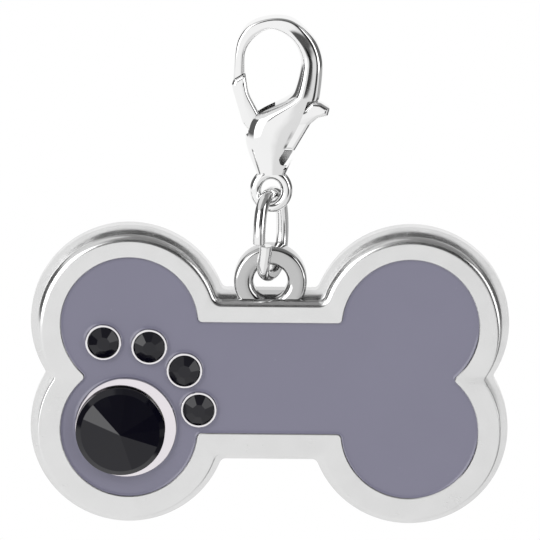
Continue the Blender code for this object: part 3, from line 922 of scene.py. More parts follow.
@dataclass(frozen=True)
class StonePlaces:
    """Where the stones stand, in the frame of the part, and what they stand in."""

    seat: Point = (-11.98, -33.78)
    stone: Point = (-12.44, -33.98)
    toe_centre: Point = (-12.44, -33.88)
    toe_radii: tuple[float, ...] = (7.51, 7.41, 7.31, 6.75)
    toe_angles: tuple[float, ...] = (101.2, 71.3, 43.2, 14.2)
    seat_radius: float = 4.23
    cup_radius: float = 1.50
    seat_steps: int = 96
    cup_steps: int = 64

    def toes(self) -> list[Point]:
        """Centres of the four toe stones.

        Returns:
            The (x, z) places, from the left.
        """
        return [(self.toe_centre[0] + radius * math.cos(math.radians(angle)),
                 self.toe_centre[1] + radius * math.sin(math.radians(angle)))
                for radius, angle in zip(self.toe_radii, self.toe_angles)]


@dataclass
class TagCasting:
    """Bone casting with its two tiers, bail, pad seat and toe cups."""

    bone: BoneShape
    places: StonePlaces
    rim_y: float = -1.75
    tier_y: float = -0.25
    back_y: float = 1.25
    floor_y: float = -1.15
    front_rim: float = 1.91
    back_rim: float = 2.51
    tier_fillet: float = 0.55
    recess_fillet: float = 0.40
    front_rounding: float = 0.62
    side_rounding: float = 0.14
    front_steps: int = 9
    back_rounding: float = 0.34
    back_steps: int = 6
    upward_gain: float = 1.6
    recess_edge: float = 0.07
    bail_z: float = -21.43
    bail_radius: float = 3.04
    bail_bore: float = 1.42
    bail_half: float = 1.10
    bail_edge: float = 0.36
    bail_mouth: float = 0.58
    bail_edge_steps: int = 6
    bail_steps: int = 96
    bail_foot_z: float = -23.0
    root: float = 0.3
    seat_y: float = -2.10
    seat_edge: float = 0.04
    pocket_radius: float = 3.30
    pocket_y: float = -0.46
    cup_y: float = -1.97
    cup_edge: float = 0.03
    cup_wall: float = 0.16
    cup_floor_y: float = -0.82
    drill_lead: float = 1.0

    def skin_rows(self, rounding: float) -> list[tuple[float, float, float]]:
        """Section of the casting, from the back face to the recess.

        Args:
            rounding: Radius of the front edge of the raised rim.

        Returns:
            The (offset, depth, fillet) of each row.
        """
        back = self.back_rounding
        back_edge = arc((self.back_rim - back, self.back_y - back), back, 90.0, 0.0,
                        self.back_steps)
        front_edge = arc((self.front_rim - rounding, self.rim_y + rounding), rounding, 0.0, -90.0,
                         self.front_steps)
        fillet, small = self.tier_fillet, self.recess_edge
        rows = [(offset, y, fillet + self.back_rim - offset) for offset, y in back_edge]
        rows.append((self.back_rim, self.tier_y, fillet))
        rows.append((self.front_rim, self.tier_y, fillet))
        rows += [(offset, y, fillet + self.front_rim - offset) for offset, y in front_edge]
        rows.append((small, self.rim_y, self.recess_fillet - small))
        rows.append((0.0, self.rim_y + small, self.recess_fillet))
        rows.append((0.0, self.floor_y, self.recess_fillet))
        return rows

    def casting(self) -> bpy.types.Object:
        """Closed skin of both tiers and the recess; the rim's edge is rounder where it faces up.

        Returns:
            The skin.
        """
        inner = self.bone.outline(0.0, self.tier_fillet)
        outer = self.bone.outline(1.0, self.tier_fillet)
        upward = []
        for (x, z), (far_x, far_z) in zip(inner, outer):
            rise = (far_z - z) / math.hypot(far_x - x, far_z - z)
            share = min(1.0, max(0.0, self.upward_gain * rise))
            upward.append(share * share * (3.0 - 2.0 * share))
        skin = Skin()
        rings = []
        rows = zip(self.skin_rows(self.front_rounding), self.skin_rows(self.side_rounding))
        for (wide, wide_y, wide_fillet), (narrow, narrow_y, narrow_fillet) in rows:
            sides = zip(self.bone.outline(narrow, narrow_fillet),
                        self.bone.outline(wide, wide_fillet), upward)
            rings.append(skin.ring([(x + (wide_x - x) * share,
                                     narrow_y + (wide_y - narrow_y) * share,
                                     z + (wide_z - z) * share)
                                    for (x, z), (wide_x, wide_z), share in sides]))
        skin.chain(rings, capped=True)
        return skin.to_object("tag_casting")

    def bail(self) -> bpy.types.Object:
        """Ring on the shaft, flat in front with a wide inner and a narrow outer edge.

        Returns:
            The ring.
        """
        half, edge, mouth = self.bail_half, self.bail_edge, self.bail_mouth
        quarter = arc((0.0, 0.0), 1.0, -90.0, 0.0, self.bail_edge_steps)
        profile: Profile = []
        for base, size, outward, side, order in (
                (self.bail_radius - edge, edge, 1.0, -1.0, 1),
                (self.bail_radius - edge, edge, 1.0, 1.0, -1),
                (self.bail_bore + mouth, mouth, -1.0, 1.0, 1),
                (self.bail_bore + mouth, mouth, -1.0, -1.0, -1)):
            profile += [(base + outward * size * u, side * (half - size - size * v))
                        for u, v in quarter[::order]]
        return turned("bail", profile, (0.0, self.bail_z), self.bail_steps, closed=True)

    def disc(self, name: str, place: Point, radius: float, front_y: float, back_y: float,
             steps: int, edge: float = 0.0) -> bpy.types.Object:
        """Short drum, for a seat or to drill a hole.

        Args:
            name: Name of the drum.
            place: Its centre.
            radius: Its radius.
            front_y: Depth of its front.
            back_y: Depth of its back.
            steps: Points once round.
            edge: Size of the chamfer in front, or 0.

        Returns:
            The drum.
        """
        profile = [(0.0, front_y), (radius - edge, front_y)]
        if edge > 0.0:
            profile.append((radius, front_y + edge))
        profile += [(radius, back_y), (0.0, back_y)]
        return turned(name, profile, place, steps)

    def build(self, finishes: Finishes) -> bpy.types.Object:
        """Build the casting in one piece.

        Args:
            finishes: The materials.

        Returns:
            The casting, which stands for tag_body.
        """
        spots = self.places
        root_y = self.floor_y + self.root
        item = combine(self.casting(), self.bail(), Join.UNION)
        seat = self.disc("seat", spots.seat, spots.seat_radius, self.seat_y, root_y,
                         spots.seat_steps, self.seat_edge)
        item = combine(item, seat, Join.UNION)
        for index, place in enumerate(spots.toes(), start=1):
            cup = self.disc(f"cup_{index}", place, spots.cup_radius, self.cup_y, root_y,
                            spots.cup_steps, self.cup_edge)
            item = combine(item, cup, Join.UNION)
            bore = self.disc(f"bore_{index}", place, spots.cup_radius - self.cup_wall,
                             self.cup_y - self.drill_lead, self.cup_floor_y, spots.cup_steps)
            item = combine(item, bore, Join.DIFFERENCE)
        pocket = self.disc("pocket", spots.seat, self.pocket_radius,
                           self.seat_y - self.drill_lead, self.pocket_y, spots.cup_steps)
        item = combine(item, pocket, Join.DIFFERENCE)
        item = finish_piece(item, "tag", finishes.casting, ["tag_body"])
        self.polish_parts(item, finishes)
        return item

    def polish_parts(self, item: bpy.types.Object, finishes: Finishes) -> None:
        """Give the pad seat and the cups their brighter polish; the cups' lighter colour is painted
        highlight, the bail's darker colour painted shade.

        Args:
            item: The casting, in metres.
            finishes: The materials.
        """
        spots = [(self.places.seat, self.places.seat_radius, finishes.seat)]
        spots += [(toe, self.places.cup_radius, finishes.cups) for toe in self.places.toes()]
        slots = {finish: index for index, finish
                 in enumerate((finishes.seat, finishes.bail, finishes.cups), start=1)}
        for finish in slots:
            item.data.materials.append(finish)
        for face in item.data.polygons:
            centre = face.center / MM
            # Bail faces take the darker bail finish, whose colour is painted shade.
            from_bail = math.hypot(centre.x, centre.z - self.bail_z)
            if from_bail < self.bail_radius + SLACK and centre.z > self.bail_foot_z:
                face.material_index = slots[finishes.bail]
            # Cup faces take the lighter cup finish, whose colour is painted highlight.
            for (x, z), radius, finish in spots:
                from_spot = math.hypot(centre.x - x, centre.z - z)
                if from_spot < radius + SLACK and centre.y < self.rim_y - SLACK:
                    face.material_index = slots[finish]


@dataclass
class ResinFilling:
    """Filling whose top climbs a little at the metal."""

    bone: BoneShape
    places: StonePlaces
    level_y: float = -1.55
    floor_y: float = -1.20
    fillet: float = 0.40
    gap: float = 0.015
    climb: float = 0.10
    climb_power: float = 2.2
    climb_shares: tuple[float, ...] = (1.0, 0.8, 0.6, 0.42, 0.26, 0.12, 0.0)
    edge_reach: float = 0.26
    hole_reach: float = 0.32
    sharp: float = 50.0

    def wall_rows(self, reach: float) -> list[Point]:
        """Rows down the meniscus and into the recess.

        Args:
            reach: How far from the metal the meniscus starts.

        Returns:
            The (distance from the metal, depth) of each row.
        """
        rows = []
        for share in self.climb_shares:
            rise = self.climb * (1.0 - share) ** self.climb_power
            rows.append((self.gap + reach * share, self.level_y - rise))
        rows.append((self.gap, self.floor_y))
        return rows

    def build(self, finishes: Finishes) -> bpy.types.Object:
        """Build the filling.

        Args:
            finishes: The materials.

        Returns:
            The filling, which stands for enamel_fill.
        """
        walls = [[(self.bone.outline(-distance, self.fillet + distance), y)
                  for distance, y in self.wall_rows(self.edge_reach)]]
        holes = [(self.places.seat, self.places.seat_radius, self.places.seat_steps)]
        holes += [(toe, self.places.cup_radius, self.places.cup_steps)
                  for toe in self.places.toes()]
        for centre, radius, steps in holes:
            walls.append([(circle(centre, radius + distance, steps), y)
                          for distance, y in self.wall_rows(self.hole_reach)])
        skin = Skin()
        tops, bottoms = [], []
        for wall in walls:
            rings = [skin.ring([(x, y, z) for x, z in outline]) for outline, y in wall]
            skin.chain(rings)
            tops.append(rings[0])
            bottoms.append(rings[-1])
        skin.fill_between(tops)
        skin.fill_between(bottoms)
        return finish_piece(skin.to_object("resin_filling"), "tag", finishes.resin,
                            ["enamel_fill"], self.sharp)


@dataclass(frozen=True)
class StoneCut:
    """Sizes of a round stone whose crown ends in a point or in a flat table."""

    radius: float
    girdle: float
    bezel_radius: float
    bezel: float
    crown: float
    table: float
    pavilion: float
    facets: int


@dataclass
class CutStones:
    """The pointed pad stone and the four toe stones."""

    places: StonePlaces
    pad: StoneCut = StoneCut(radius=3.73, girdle=0.35, bezel_radius=3.30, bezel=0.42, crown=0.80,
                             table=0.0, pavilion=1.70, facets=14)
    pad_back_y: float = -2.36
    pad_start: float = 5.0
    toe: StoneCut = StoneCut(radius=1.29, girdle=0.10, bezel_radius=1.27, bezel=0.02, crown=0.43,
                             table=0.56, pavilion=0.78, facets=8)
    toe_back_y: float = -1.81
    toe_starts: tuple[float, ...] = (10.0, 28.0, 3.0, 18.0)
    arc_points: int = 7
    sharp: float = 4.6

    def cut(self, name: str, place: Point, back_y: float, size: StoneCut,
            start: float) -> bpy.types.Object:
        """Stone with flat crown facets inside a round girdle.

        Args:
            name: Name of the stone.
            place: Its centre.
            back_y: Depth of the back of its girdle.
            size: Its sizes.
            start: Angle of the first edge between facets in degrees.

        Returns:
            The stone.
        """
        skin = Skin()
        top = size.girdle + size.bezel + size.crown
        half = math.pi / size.facets
        slope = size.crown / (size.bezel_radius - size.table) / math.cos(half)

        def spot(radius: float, angle: float, height: float) -> Corner:
            """Point at a radius, angle and height over the back of the girdle."""
            return (place[0] + radius * math.cos(angle), back_y - height,
                    place[1] + radius * math.sin(angle))

        crown_edge, girdle_front, girdle_back = [], [], []
        for facet in range(size.facets):
            middle = math.radians(start) + half * (2 * facet + 1)
            for step in range(self.arc_points):
                angle = middle - half + 2 * half * step / self.arc_points
                along = math.cos(angle - middle) * size.bezel_radius - size.table * math.cos(half)
                crown_edge.append(spot(size.bezel_radius, angle, top - slope * along))
                girdle_front.append(spot(size.radius, angle, size.girdle))
                girdle_back.append(spot(size.radius, angle, 0.0))
        edge, front, back = (skin.ring(row) for row in (crown_edge, girdle_front, girdle_back))
        if size.table > 0.0:
            corners = skin.ring([spot(size.table, math.radians(start) + 2 * half * facet, top)
                                 for facet in range(size.facets)])
            skin.cap(corners)
        else:
            corners = skin.ring([spot(0.0, 0.0, top)])
        for facet in range(size.facets):
            first = facet * self.arc_points
            outer = [edge[(first + step) % len(edge)] for step in range(self.arc_points + 1)]
            inner = [corners[(facet + 1) % len(corners)], corners[facet % len(corners)]]
            skin.cap(outer + list(dict.fromkeys(inner)))
        skin.chain([edge, front, back, skin.ring([spot(0.0, 0.0, -size.pavilion)])])
        return skin.to_object(name)

    def build(self, finishes: Finishes) -> list[bpy.types.Object]:
        """Build the five stones.

        Args:
            finishes: The materials.

        Returns:
            The stones, the pad stone first.
        """
        plan = [("pad_crystal", "pad_stone", self.places.stone, self.pad_back_y, self.pad,
                 self.pad_start)]
        for index, (place, start) in enumerate(zip(self.places.toes(), self.toe_starts), start=1):
            plan.append((f"toe_crystal_{index}", f"toe_stone_{index}", place, self.toe_back_y,
                         self.toe, start))
        return [finish_piece(self.cut(name, *shape), "tag", finishes.glass, [node],
                             self.sharp, even=False)
                for name, node, *shape in plan]


@dataclass
class CementBeds:
    """Cured cement under the stones, in the shapes of the pack."""

    mark: str = "_bed"

    def build(self, nodes: dict[str, bpy.types.Object],
              finishes: Finishes) -> list[bpy.types.Object]:
        """Dress the beds.

        Args:
            nodes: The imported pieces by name.
            finishes: The materials.

        Returns:
            The beds.
        """
        beds = [node for name, node in nodes.items() if self.mark in name]
        for bed in beds:
            bed.data.materials.clear()
            bed.data.materials.append(finishes.cement)
        return beds


@dataclass
class JumpRing:
    """Oval ring of round wire, cut in its near side and bent a little open."""

    radius: float = 0.525
    half_width: float = 2.34
    bow: float = 2.15
    top_z: float = -13.995
    bottom_z: float = -20.995
    turn: float = 65.5
    cut_drop: float = 3.95
    cut_gap: float = 0.10
    cut_offset: float = 0.62
    cut_reach: float = 0.17
    cut_edge: float = 0.04
    wire_sides: int = 28
    bow_steps: int = 44
    side_steps: int = 9

    def outline(self) -> Profile:
        """Oval of four arcs, once round from the cut.

        Returns:
            The points, from one end of the wire to the other.
        """
        half, bow = self.half_width, self.bow
        side_steps, bow_steps = self.side_steps, self.bow_steps
        middle = (self.top_z + self.bottom_z) / 2
        rise = (self.top_z - self.bottom_z) / 2 - bow
        side = (half ** 2 - bow ** 2 + rise ** 2) / (2 * (half - bow))
        lean = math.degrees(math.atan2(rise, side - half))
        cut = math.degrees(math.asin((middle - self.top_z + self.cut_drop) / side))
        gap = math.degrees(self.cut_gap / side / 2)
        near, far = (side - half, middle), (half - side, middle)
        points = arc(near, side, 180.0 + cut + gap, 180.0 + lean, side_steps)
        points += arc((0.0, middle - rise), bow, 180.0 + lean, 360.0 - lean, bow_steps)[1:]
        points += arc(far, side, -lean, lean, 2 * side_steps)[1:]
        points += arc((0.0, middle + rise), bow, lean, 180.0 - lean, bow_steps)[1:]
        points += arc(near, side, 180.0 - lean, 180.0 + cut - gap, side_steps)[1:]
        return points

    def centre_line(self) -> list[Vector]:
        """Line of the wire, turned out of the plane of the tag.

        Returns:
            The points of the line.
        """
        turn = math.radians(self.turn)
        along = Vector((math.cos(turn), math.sin(turn), 0.0))
        across = Vector((-math.sin(turn), math.cos(turn), 0.0))
        flat = self.outline()
        lengths = [0.0]
        for (u, z), (next_u, next_z) in zip(flat, flat[1:]):
            lengths.append(lengths[-1] + math.hypot(next_u - u, next_z - z))
        points = []
        for (u, z), length in zip(flat, lengths):
            near = max(0.0, 1.0 - length / lengths[-1] / self.cut_reach)
            shift = self.cut_offset * near ** 2 * (2 * near - 3)
            points.append(along * u + across * shift + Vector((0.0, 0.0, z)))
        return points

    def build(self, finishes: Finishes) -> bpy.types.Object:
        """Build the ring.

        Args:
            finishes: The materials.

        Returns:
            The ring, which stands for jump_ring.
        """
        wire = swept_wire("wire_ring", self.centre_line(), self.radius, self.wire_sides,
                          self.cut_edge)
        return finish_piece(wire, "jump_ring", finishes.wire, ["jump_ring"])


class Station(NamedTuple):
    """Section of the hook: its two edges, half its depth and the shape of its front."""

    left: Point
    right: Point
    half_depth: float
    crest: float
    left_power: float
    right_power: float
    ridge: float


HOOK_STATIONS = (
    Station((-2.28, -3.60), (-3.23, -4.20), 0.90, 0.0, 4.0, 5.0, 0.0),
    Station((-2.25, -2.10), (-3.07, -1.93), 0.90, 0.0, 4.0, 5.5, 0.0),
    Station((-1.86, -1.19), (-2.70, -0.58), 0.92, 0.0, 4.0, 6.0, 0.0),
    Station((-1.16, -0.49), (-1.76, 0.46), 0.93, 0.0, 4.0, 7.0, 0.0),
    Station((-0.17, 0.00), (-0.05, 0.975), 0.95, 0.0, 4.0, 7.5, 0.0),
    Station((0.88, -0.34), (1.54, 0.82), 0.98, 0.0, 3.8, 7.5, 0.05),
    Station((1.68, -0.99), (2.83, -0.09), 1.02, 0.0, 3.6, 4.0, 0.13),
    Station((2.16, -1.82), (3.76, -1.29), 1.10, 0.0, 3.4, 3.3, 0.15),
    Station((2.38, -2.90), (4.20, -2.96), 1.20, 0.0, 3.2, 3.3, 0.16),
    Station((1.96, -4.93), (4.03, -5.44), 1.36, -0.1, 2.9, 3.7, 0.17),
    Station((1.35, -5.78), (3.76, -6.43), 1.43, -0.15, 2.5, 3.6, 0.14),
    Station((-0.95, -6.92), (3.28, -7.93), 1.50, -0.3, 2.2, 3.1, 0.01),
    Station((-1.84, -7.66), (3.00, -8.66), 1.50, -0.35, 2.1, 3.0, 0.0),
    Station((-2.17, -9.00), (2.46, -9.64), 1.50, -0.35, 2.1, 3.0, 0.0),
    Station((-1.99, -10.29), (1.99, -10.54), 1.42, -0.3, 2.1, 3.0, 0.0),
    Station((-1.22, -12.32), (1.22, -12.32), 0.85, -0.1, 2.3, 2.6, 0.0),
)
SLOT_CORNERS = (
    (-4.05, -7.41, 0.0), (-1.71, -6.04, 0.0), (-0.54, -5.70, 0.0), (0.22, -5.70, 0.0),
    (0.36, -7.74, 0.3), (2.58, -6.70, 0.4), (2.98, -5.98, 0.3), (5.80, -5.30, 0.0),
    (5.80, -9.50, 0.0), (1.80, -11.00, 0.0), (1.20, -11.90, 0.3), (-0.55, -11.90, 0.3),
    (-1.12, -11.00, 0.4), (-1.60, -10.00, 0.4), (-1.75, -9.20, 0.3), (-2.71, -8.70, 0.0),
)
WINDOW_CORNERS = (
    (2.95, -5.95, 0.0), (2.30, -7.84, 1.5), (1.76, -8.93, 1.5), (0.62, -10.86, 0.35),
    (0.74, -11.48, 0.30), (6.00, -11.30, 0.0), (6.00, -5.60, 0.0),
)
LEVER_CORNERS = (
    (-1.98, -5.45, 3.0), (-0.85, -7.55, 0.8), (0.10, -8.00, 0.6), (2.70, -6.80, 0.5),
    (3.30, -6.12, 0.35), (4.05, -6.20, 0.7), (4.82, -6.68, 0.18), (4.64, -7.34, 0.24),
    (3.86, -7.50, 0.9), (3.20, -8.05, 0.8), (1.88, -10.35, 0.25), (-1.40, -10.35, 0.85),
    (-1.40, -9.20, 0.6), (-2.42, -8.00, 1.0), (-3.22, -5.30, 2.5), (-3.36, -4.72, 0.35),
)


@dataclass
class LobsterClasp:
    """Cast hook with its eye, sprung lever, pin and spring."""

    stations: tuple[Station, ...] = HOOK_STATIONS
    slot_corners: tuple[Corner, ...] = SLOT_CORNERS
    window_corners: tuple[Corner, ...] = WINDOW_CORNERS
    lever_corners: tuple[Corner, ...] = LEVER_CORNERS
    station_steps: int = 8
    section_points: int = 48
    half_depth: float = 1.50
    ridge_place: float = -0.52
    ridge_width: float = 0.72
    body_sharp: float = 38.0
    eye_drop: float = 13.75
    eye_half_width: float = 0.80
    eye_half_height: float = 0.92
    eye_wall: float = 0.98
    eye_thickness: float = 1.00
    eye_rounding: float = 0.46
    eye_rounds: int = 5
    eye_outer_steps: int = 80
    eye_inner_steps: int = 56
    slot_half: float = 0.81
    wall_facing: float = 0.9
    lever_half: float = 0.75
    lever_rounding: float = 0.34
    lever_rounds: int = 6
    tip_gap: float = 0.09
    tip_fillet: float = 0.10
    pivot: Point = (-0.38, -9.30)
    bore_radius: float = 0.43
    bore_steps: int = 48
    bore_front_y: float = -1.18
    bore_back_y: float = 3.0
    hub_bore_half: float = 2.0
    pin_radius: float = 0.40
    pin_front_y: float = -1.13
    pin_drop: float = 0.06
    pin_edge: float = 0.05
    pin_edge_steps: int = 3
    pin_steps: int = 40
    spring_x: float = 0.16
    spring_bottom: float = -11.77
    spring_top: float = -10.48
    spring_radius: float = 0.52
    spring_wire: float = 0.09
    spring_sides: int = 10
    spring_edge: float = 0.01
    spring_turns: float = 3.5
    spring_turn_steps: int = 24
    spring_kept: float = 0.44

    def section(self, left: Vector, right: Vector, shape: Vector) -> list[Vector]:
        """Section between the rails.

        Args:
            left: Place on the left rail.
            right: Place on the right rail.
            shape: Half depth, crest, left power, right power and ridge.

        Returns:
            The points once round.
        """
        half_depth, crest, left_power, right_power, ridge = shape
        centre, reach = (left + right) / 2, (right - left) / 2
        points = []
        for step in range(self.section_points):
            angle = 2 * math.pi * (step + 0.5) / self.section_points
            across, depth = math.cos(angle), math.sin(angle)
            power = 2 / (right_power if across > 0.0 else left_power)
            side = math.copysign(abs(across) ** power, across)
            u = crest + side * (1.0 - math.copysign(1.0, across) * crest)
            away = min(1.0, abs(u - self.ridge_place) / self.ridge_width)
            lift = ridge * math.cos(away * math.pi / 2) ** 2
            y = math.copysign(half_depth * abs(depth) ** power + lift, depth)
            points.append(Vector((centre.x + reach.x * u, y, centre.y + reach.y * u)))
        return points

    def casting(self) -> bpy.types.Object:
        """Hook, spine and body, lofted through the stations.

        Returns:
            The solid casting, without its eye and openings.
        """
        left, right, shape = (
            smooth_rail([Vector(part) for part in parts], self.station_steps)
            for parts in ([station.left for station in self.stations],
                          [station.right for station in self.stations],
                          [station[2:] for station in self.stations]))
        skin = Skin()
        skin.chain([skin.ring(self.section(*sides)) for sides in zip(left, right, shape)],
                   capped=True)
        return skin.to_object("hook_casting")

    def oval(self, grow: float, steps: int) -> Profile:
        """Oval of the eye.

        Args:
            grow: How far outside the opening.
            steps: Points once round.

        Returns:
            The points.
        """
        points = []
        for step in range(steps):
            angle = 2 * math.pi * step / steps
            points.append(((self.eye_half_width + grow) * math.cos(angle),
                           -self.eye_drop + (self.eye_half_height + grow) * math.sin(angle)))
        return points

    def bore(self, front_y: float, back_y: float) -> bpy.types.Object:
        """Drill for the pin.

        Args:
            front_y: Depth of its front.
            back_y: Depth of its back.

        Returns:
            The drill.
        """
        profile = [(0.0, front_y), (self.bore_radius, front_y), (self.bore_radius, back_y),
                   (0.0, back_y)]
        return turned("bore", profile, self.pivot, self.bore_steps)

    def hook(self, finishes: Finishes) -> bpy.types.Object:
        """Build the casting with its eye, slot, window and pin bore.

        Args:
            finishes: The materials.

        Returns:
            The casting, which stands for clasp_body.
        """
        half = self.eye_thickness / 2
        eye = flat_plate("eye", [self.oval(self.eye_wall, self.eye_outer_steps),
                                 self.oval(0.0, self.eye_inner_steps)],
                         -half, half, self.eye_rounding, self.eye_rounds)
        item = combine(self.casting(), eye, Join.UNION, Solver.EXACT)
        slot = flat_plate("slot", [filleted(self.slot_corners)], -self.slot_half, self.slot_half)
        item = combine(item, slot, Join.DIFFERENCE, Solver.EXACT)
        window = flat_plate("window", [filleted(self.window_corners)], -2 * self.half_depth,
                            -self.lever_half / 2)
        item = combine(item, window, Join.DIFFERENCE, Solver.EXACT)
        item = combine(item, self.bore(self.bore_front_y, self.bore_back_y), Join.DIFFERENCE,
                       Solver.EXACT)
        item = finish_piece(item, "clasp", finishes.clasp, ["clasp_body"],
                            self.body_sharp)
        # Slot wall faces take the darker inside finish, whose colour is painted shade in the slot.
        item.data.materials.append(finishes.inside)
        for face in item.data.polygons:
            on_wall = abs(abs(face.center.y) / MM - self.slot_half) < SLACK
            if on_wall and abs(face.normal.y) > self.wall_facing:
                face.material_index = 1
        return item

    def lever(self, finishes: Finishes) -> bpy.types.Object:
        """Build the gate, hub, tail and thumb tab in one piece.

        Args:
            finishes: The materials.

        Returns:
            The lever, which stands for clasp_lever.
        """
        inner, outer = Vector(self.stations[0].left), Vector(self.stations[0].right)
        edge = (inner - outer).normalized()
        away = Vector((edge.y, -edge.x)) * self.tip_gap
        ends = ((*(outer + away), self.tip_fillet), (*(inner + away), self.tip_fillet))
        item = flat_plate("gate_lever", [filleted(ends + self.lever_corners)], -self.lever_half,
                          self.lever_half, self.lever_rounding, self.lever_rounds)
        item = combine(item, self.bore(-self.hub_bore_half, self.hub_bore_half), Join.DIFFERENCE,
                       Solver.EXACT)
        return finish_piece(item, "lever", finishes.clasp, ["clasp_lever"])

    def pin(self, finishes: Finishes) -> bpy.types.Object:
        """Build the pin with its rounded ends.

        Args:
            finishes: The materials.

        Returns:
            The pin, which stands for lever_pin.
        """
        front, back, edge = self.pin_front_y, self.half_depth - self.pin_drop, self.pin_edge
        reach = self.pin_radius - edge
        profile: Profile = [(0.0, front)]
        profile += arc((reach, front + edge), edge, -90.0, 0.0, self.pin_edge_steps)
        profile += arc((reach, back - edge), edge, 0.0, 90.0, self.pin_edge_steps)
        profile.append((0.0, back))
        item = turned("pivot_pin", profile, self.pivot, self.pin_steps)
        return finish_piece(item, "clasp", finishes.steel, ["lever_pin"])

    def spring(self, finishes: Finishes) -> bpy.types.Object:
        """Build the coil spring at rest; the real spring shortens as the gate opens, which this
        mesh does not do.

        Args:
            finishes: The materials.

        Returns:
            The spring, which stands for lever_spring.
        """
        steps = int(self.spring_turns * self.spring_turn_steps)
        points = []
        for step in range(steps + 1):
            angle = 2 * math.pi * step / self.spring_turn_steps
            rise = (self.spring_top - self.spring_bottom) * step / steps
            points.append(Vector((self.spring_x + self.spring_radius * math.cos(angle),
                                  self.spring_radius * math.sin(angle),
                                  self.spring_bottom + rise)))
        item = swept_wire("return_spring", points, self.spring_wire, self.spring_sides,
                          self.spring_edge)
        item = finish_piece(item, "clasp", finishes.steel, ["lever_spring"])
        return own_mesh(item)

    def build(self, finishes: Finishes) -> list[bpy.types.Object]:
        """Build the hook, lever, pin and spring, and return them."""
        return [self.hook(finishes), self.lever(finishes), self.pin(finishes),
                self.spring(finishes)]


class Flag(NamedTuple):
    """Dark panel of the mirrored room: where it hangs, its shade and whether the belt dims it."""

    azimuths: Point
    bottom: float
    shade: float
    belted: bool


class Softbox(NamedTuple):
    """Bright panel of the mirrored room and how much light it adds."""

    azimuths: Point
    gain: float


@dataclass
class Room:
    """Lit room that the metal mirrors, in degrees round from the front and up."""

    side_fade: Point = (1.0, 9.0)
    side_level: float = 0.80
    belt: Point = (-20.0, -8.5)
    belt_soft: float = 2.0
    belt_depth: float = 0.35
    top_fade: Point = (26.0, 44.0)
    top_shade: float = 0.33
    left_window: Point = (-140.0, -30.0)
    left_soft: float = 12.0
    left_depth: float = 0.75
    front_azimuths: Point = (-17.0, 84.0)
    front_rises: Point = (2.0, 40.0)
    front_shade: float = 0.12
    front_soft: float = 1.5
    flags: tuple[Flag, ...] = (
        Flag((22.0, 44.0), -21.0, 0.06, False),
        Flag((76.0, 150.0), -45.0, 0.14, True),
        Flag((-152.0, -64.0), -7.0, 0.12, False),
    )
    flag_top: float = 30.0
    flag_soft: float = 2.0
    flag_soft_rise: float = 4.0
    softboxes: tuple[Softbox, ...] = (Softbox((-60.0, -19.5), 2.4), Softbox((46.0, 70.0), 2.0))
    softbox_rises: Point = (-7.0, 32.0)
    panel_soft: float = 2.5
    diffuse: float = 0.85

    def mirrored(self, bench: NodeBench) -> Socket:
        """Light that the metal mirrors, by direction.

        Args:
            bench: Bench of the world.

        Returns:
            The level.
        """
        where = bench.add("ShaderNodeTexCoord")
        split = bench.add("ShaderNodeSeparateXYZ")
        bench.feed(split, Vector=where.outputs["Generated"])
        x, y, z = (split.outputs[axis] for axis in "XYZ")
        rise = bench.math("DEGREES", bench.math("ARCSINE", z))
        azimuth = bench.math("DEGREES", bench.math("ARCTAN2", x, bench.math("MULTIPLY", y, -1.0)))
        behind = bench.math("GREATER_THAN", y, 0.0)
        level = bench.math("MAXIMUM", bench.ramp(azimuth, *self.side_fade, 1.0, self.side_level),
                           behind)
        belt = bench.without(bench.band(rise, self.belt, self.belt_soft), self.belt_depth)
        window = bench.without(bench.band(azimuth, self.left_window, self.left_soft),
                               self.left_depth)
        covers = [(bench.math("MULTIPLY", bench.ramp(rise, *self.top_fade), window),
                   self.top_shade),
                  (bench.math("MULTIPLY",
                              bench.band(azimuth, self.front_azimuths, self.front_soft),
                              bench.band(rise, self.front_rises, self.panel_soft)),
                   self.front_shade)]
        for flag in self.flags:
            mask = bench.math("MULTIPLY", bench.band(azimuth, flag.azimuths, self.flag_soft),
                              bench.band(rise, (flag.bottom, self.flag_top), self.flag_soft_rise))
            if flag.belted:
                mask = bench.math("MULTIPLY", mask, belt)
            covers.append((mask, flag.shade))
        for mask, shade in covers:
            level = bench.math("MULTIPLY", level, bench.without(mask, 1.0 - shade))
        for box in self.softboxes:
            mask = bench.math("MULTIPLY", bench.band(azimuth, box.azimuths, self.panel_soft),
                              bench.band(rise, self.softbox_rises, self.panel_soft))
            level = bench.math("ADD", level, bench.math("MULTIPLY", mask, box.gain))
        return level

    def build(self) -> bpy.types.World:
        """Set up the room, which the camera sees as plain white.

        Returns:
            The world.
        """
        world = bpy.data.worlds.new("studio_room")
        world.use_nodes = True
        world.node_tree.nodes.clear()
        bench = NodeBench(world.node_tree)
        rays = {"Is Glossy Ray": self.mirrored(bench), "Is Diffuse Ray": self.diffuse,
                "Is Camera Ray": 1.0, "Is Transmission Ray": 1.0}
        path = bench.add("ShaderNodeLightPath")
        total = 0.0
        for ray, strength in rays.items():
            total = bench.math("MULTIPLY_ADD", path.outputs[ray], strength, total)
        background = bench.add("ShaderNodeBackground")
        bench.feed(background, Color=WHITE, Strength=total)
        output = bench.add("ShaderNodeOutputWorld")
        bench.plug(output.inputs["Surface"], background.outputs["Background"])
        bpy.context.scene.world = world
        return world


class Lamp(NamedTuple):
    """Soft square lamp that points at the tag."""

    name: str
    place: tuple[float, float, float]
    size: float
    watts: float


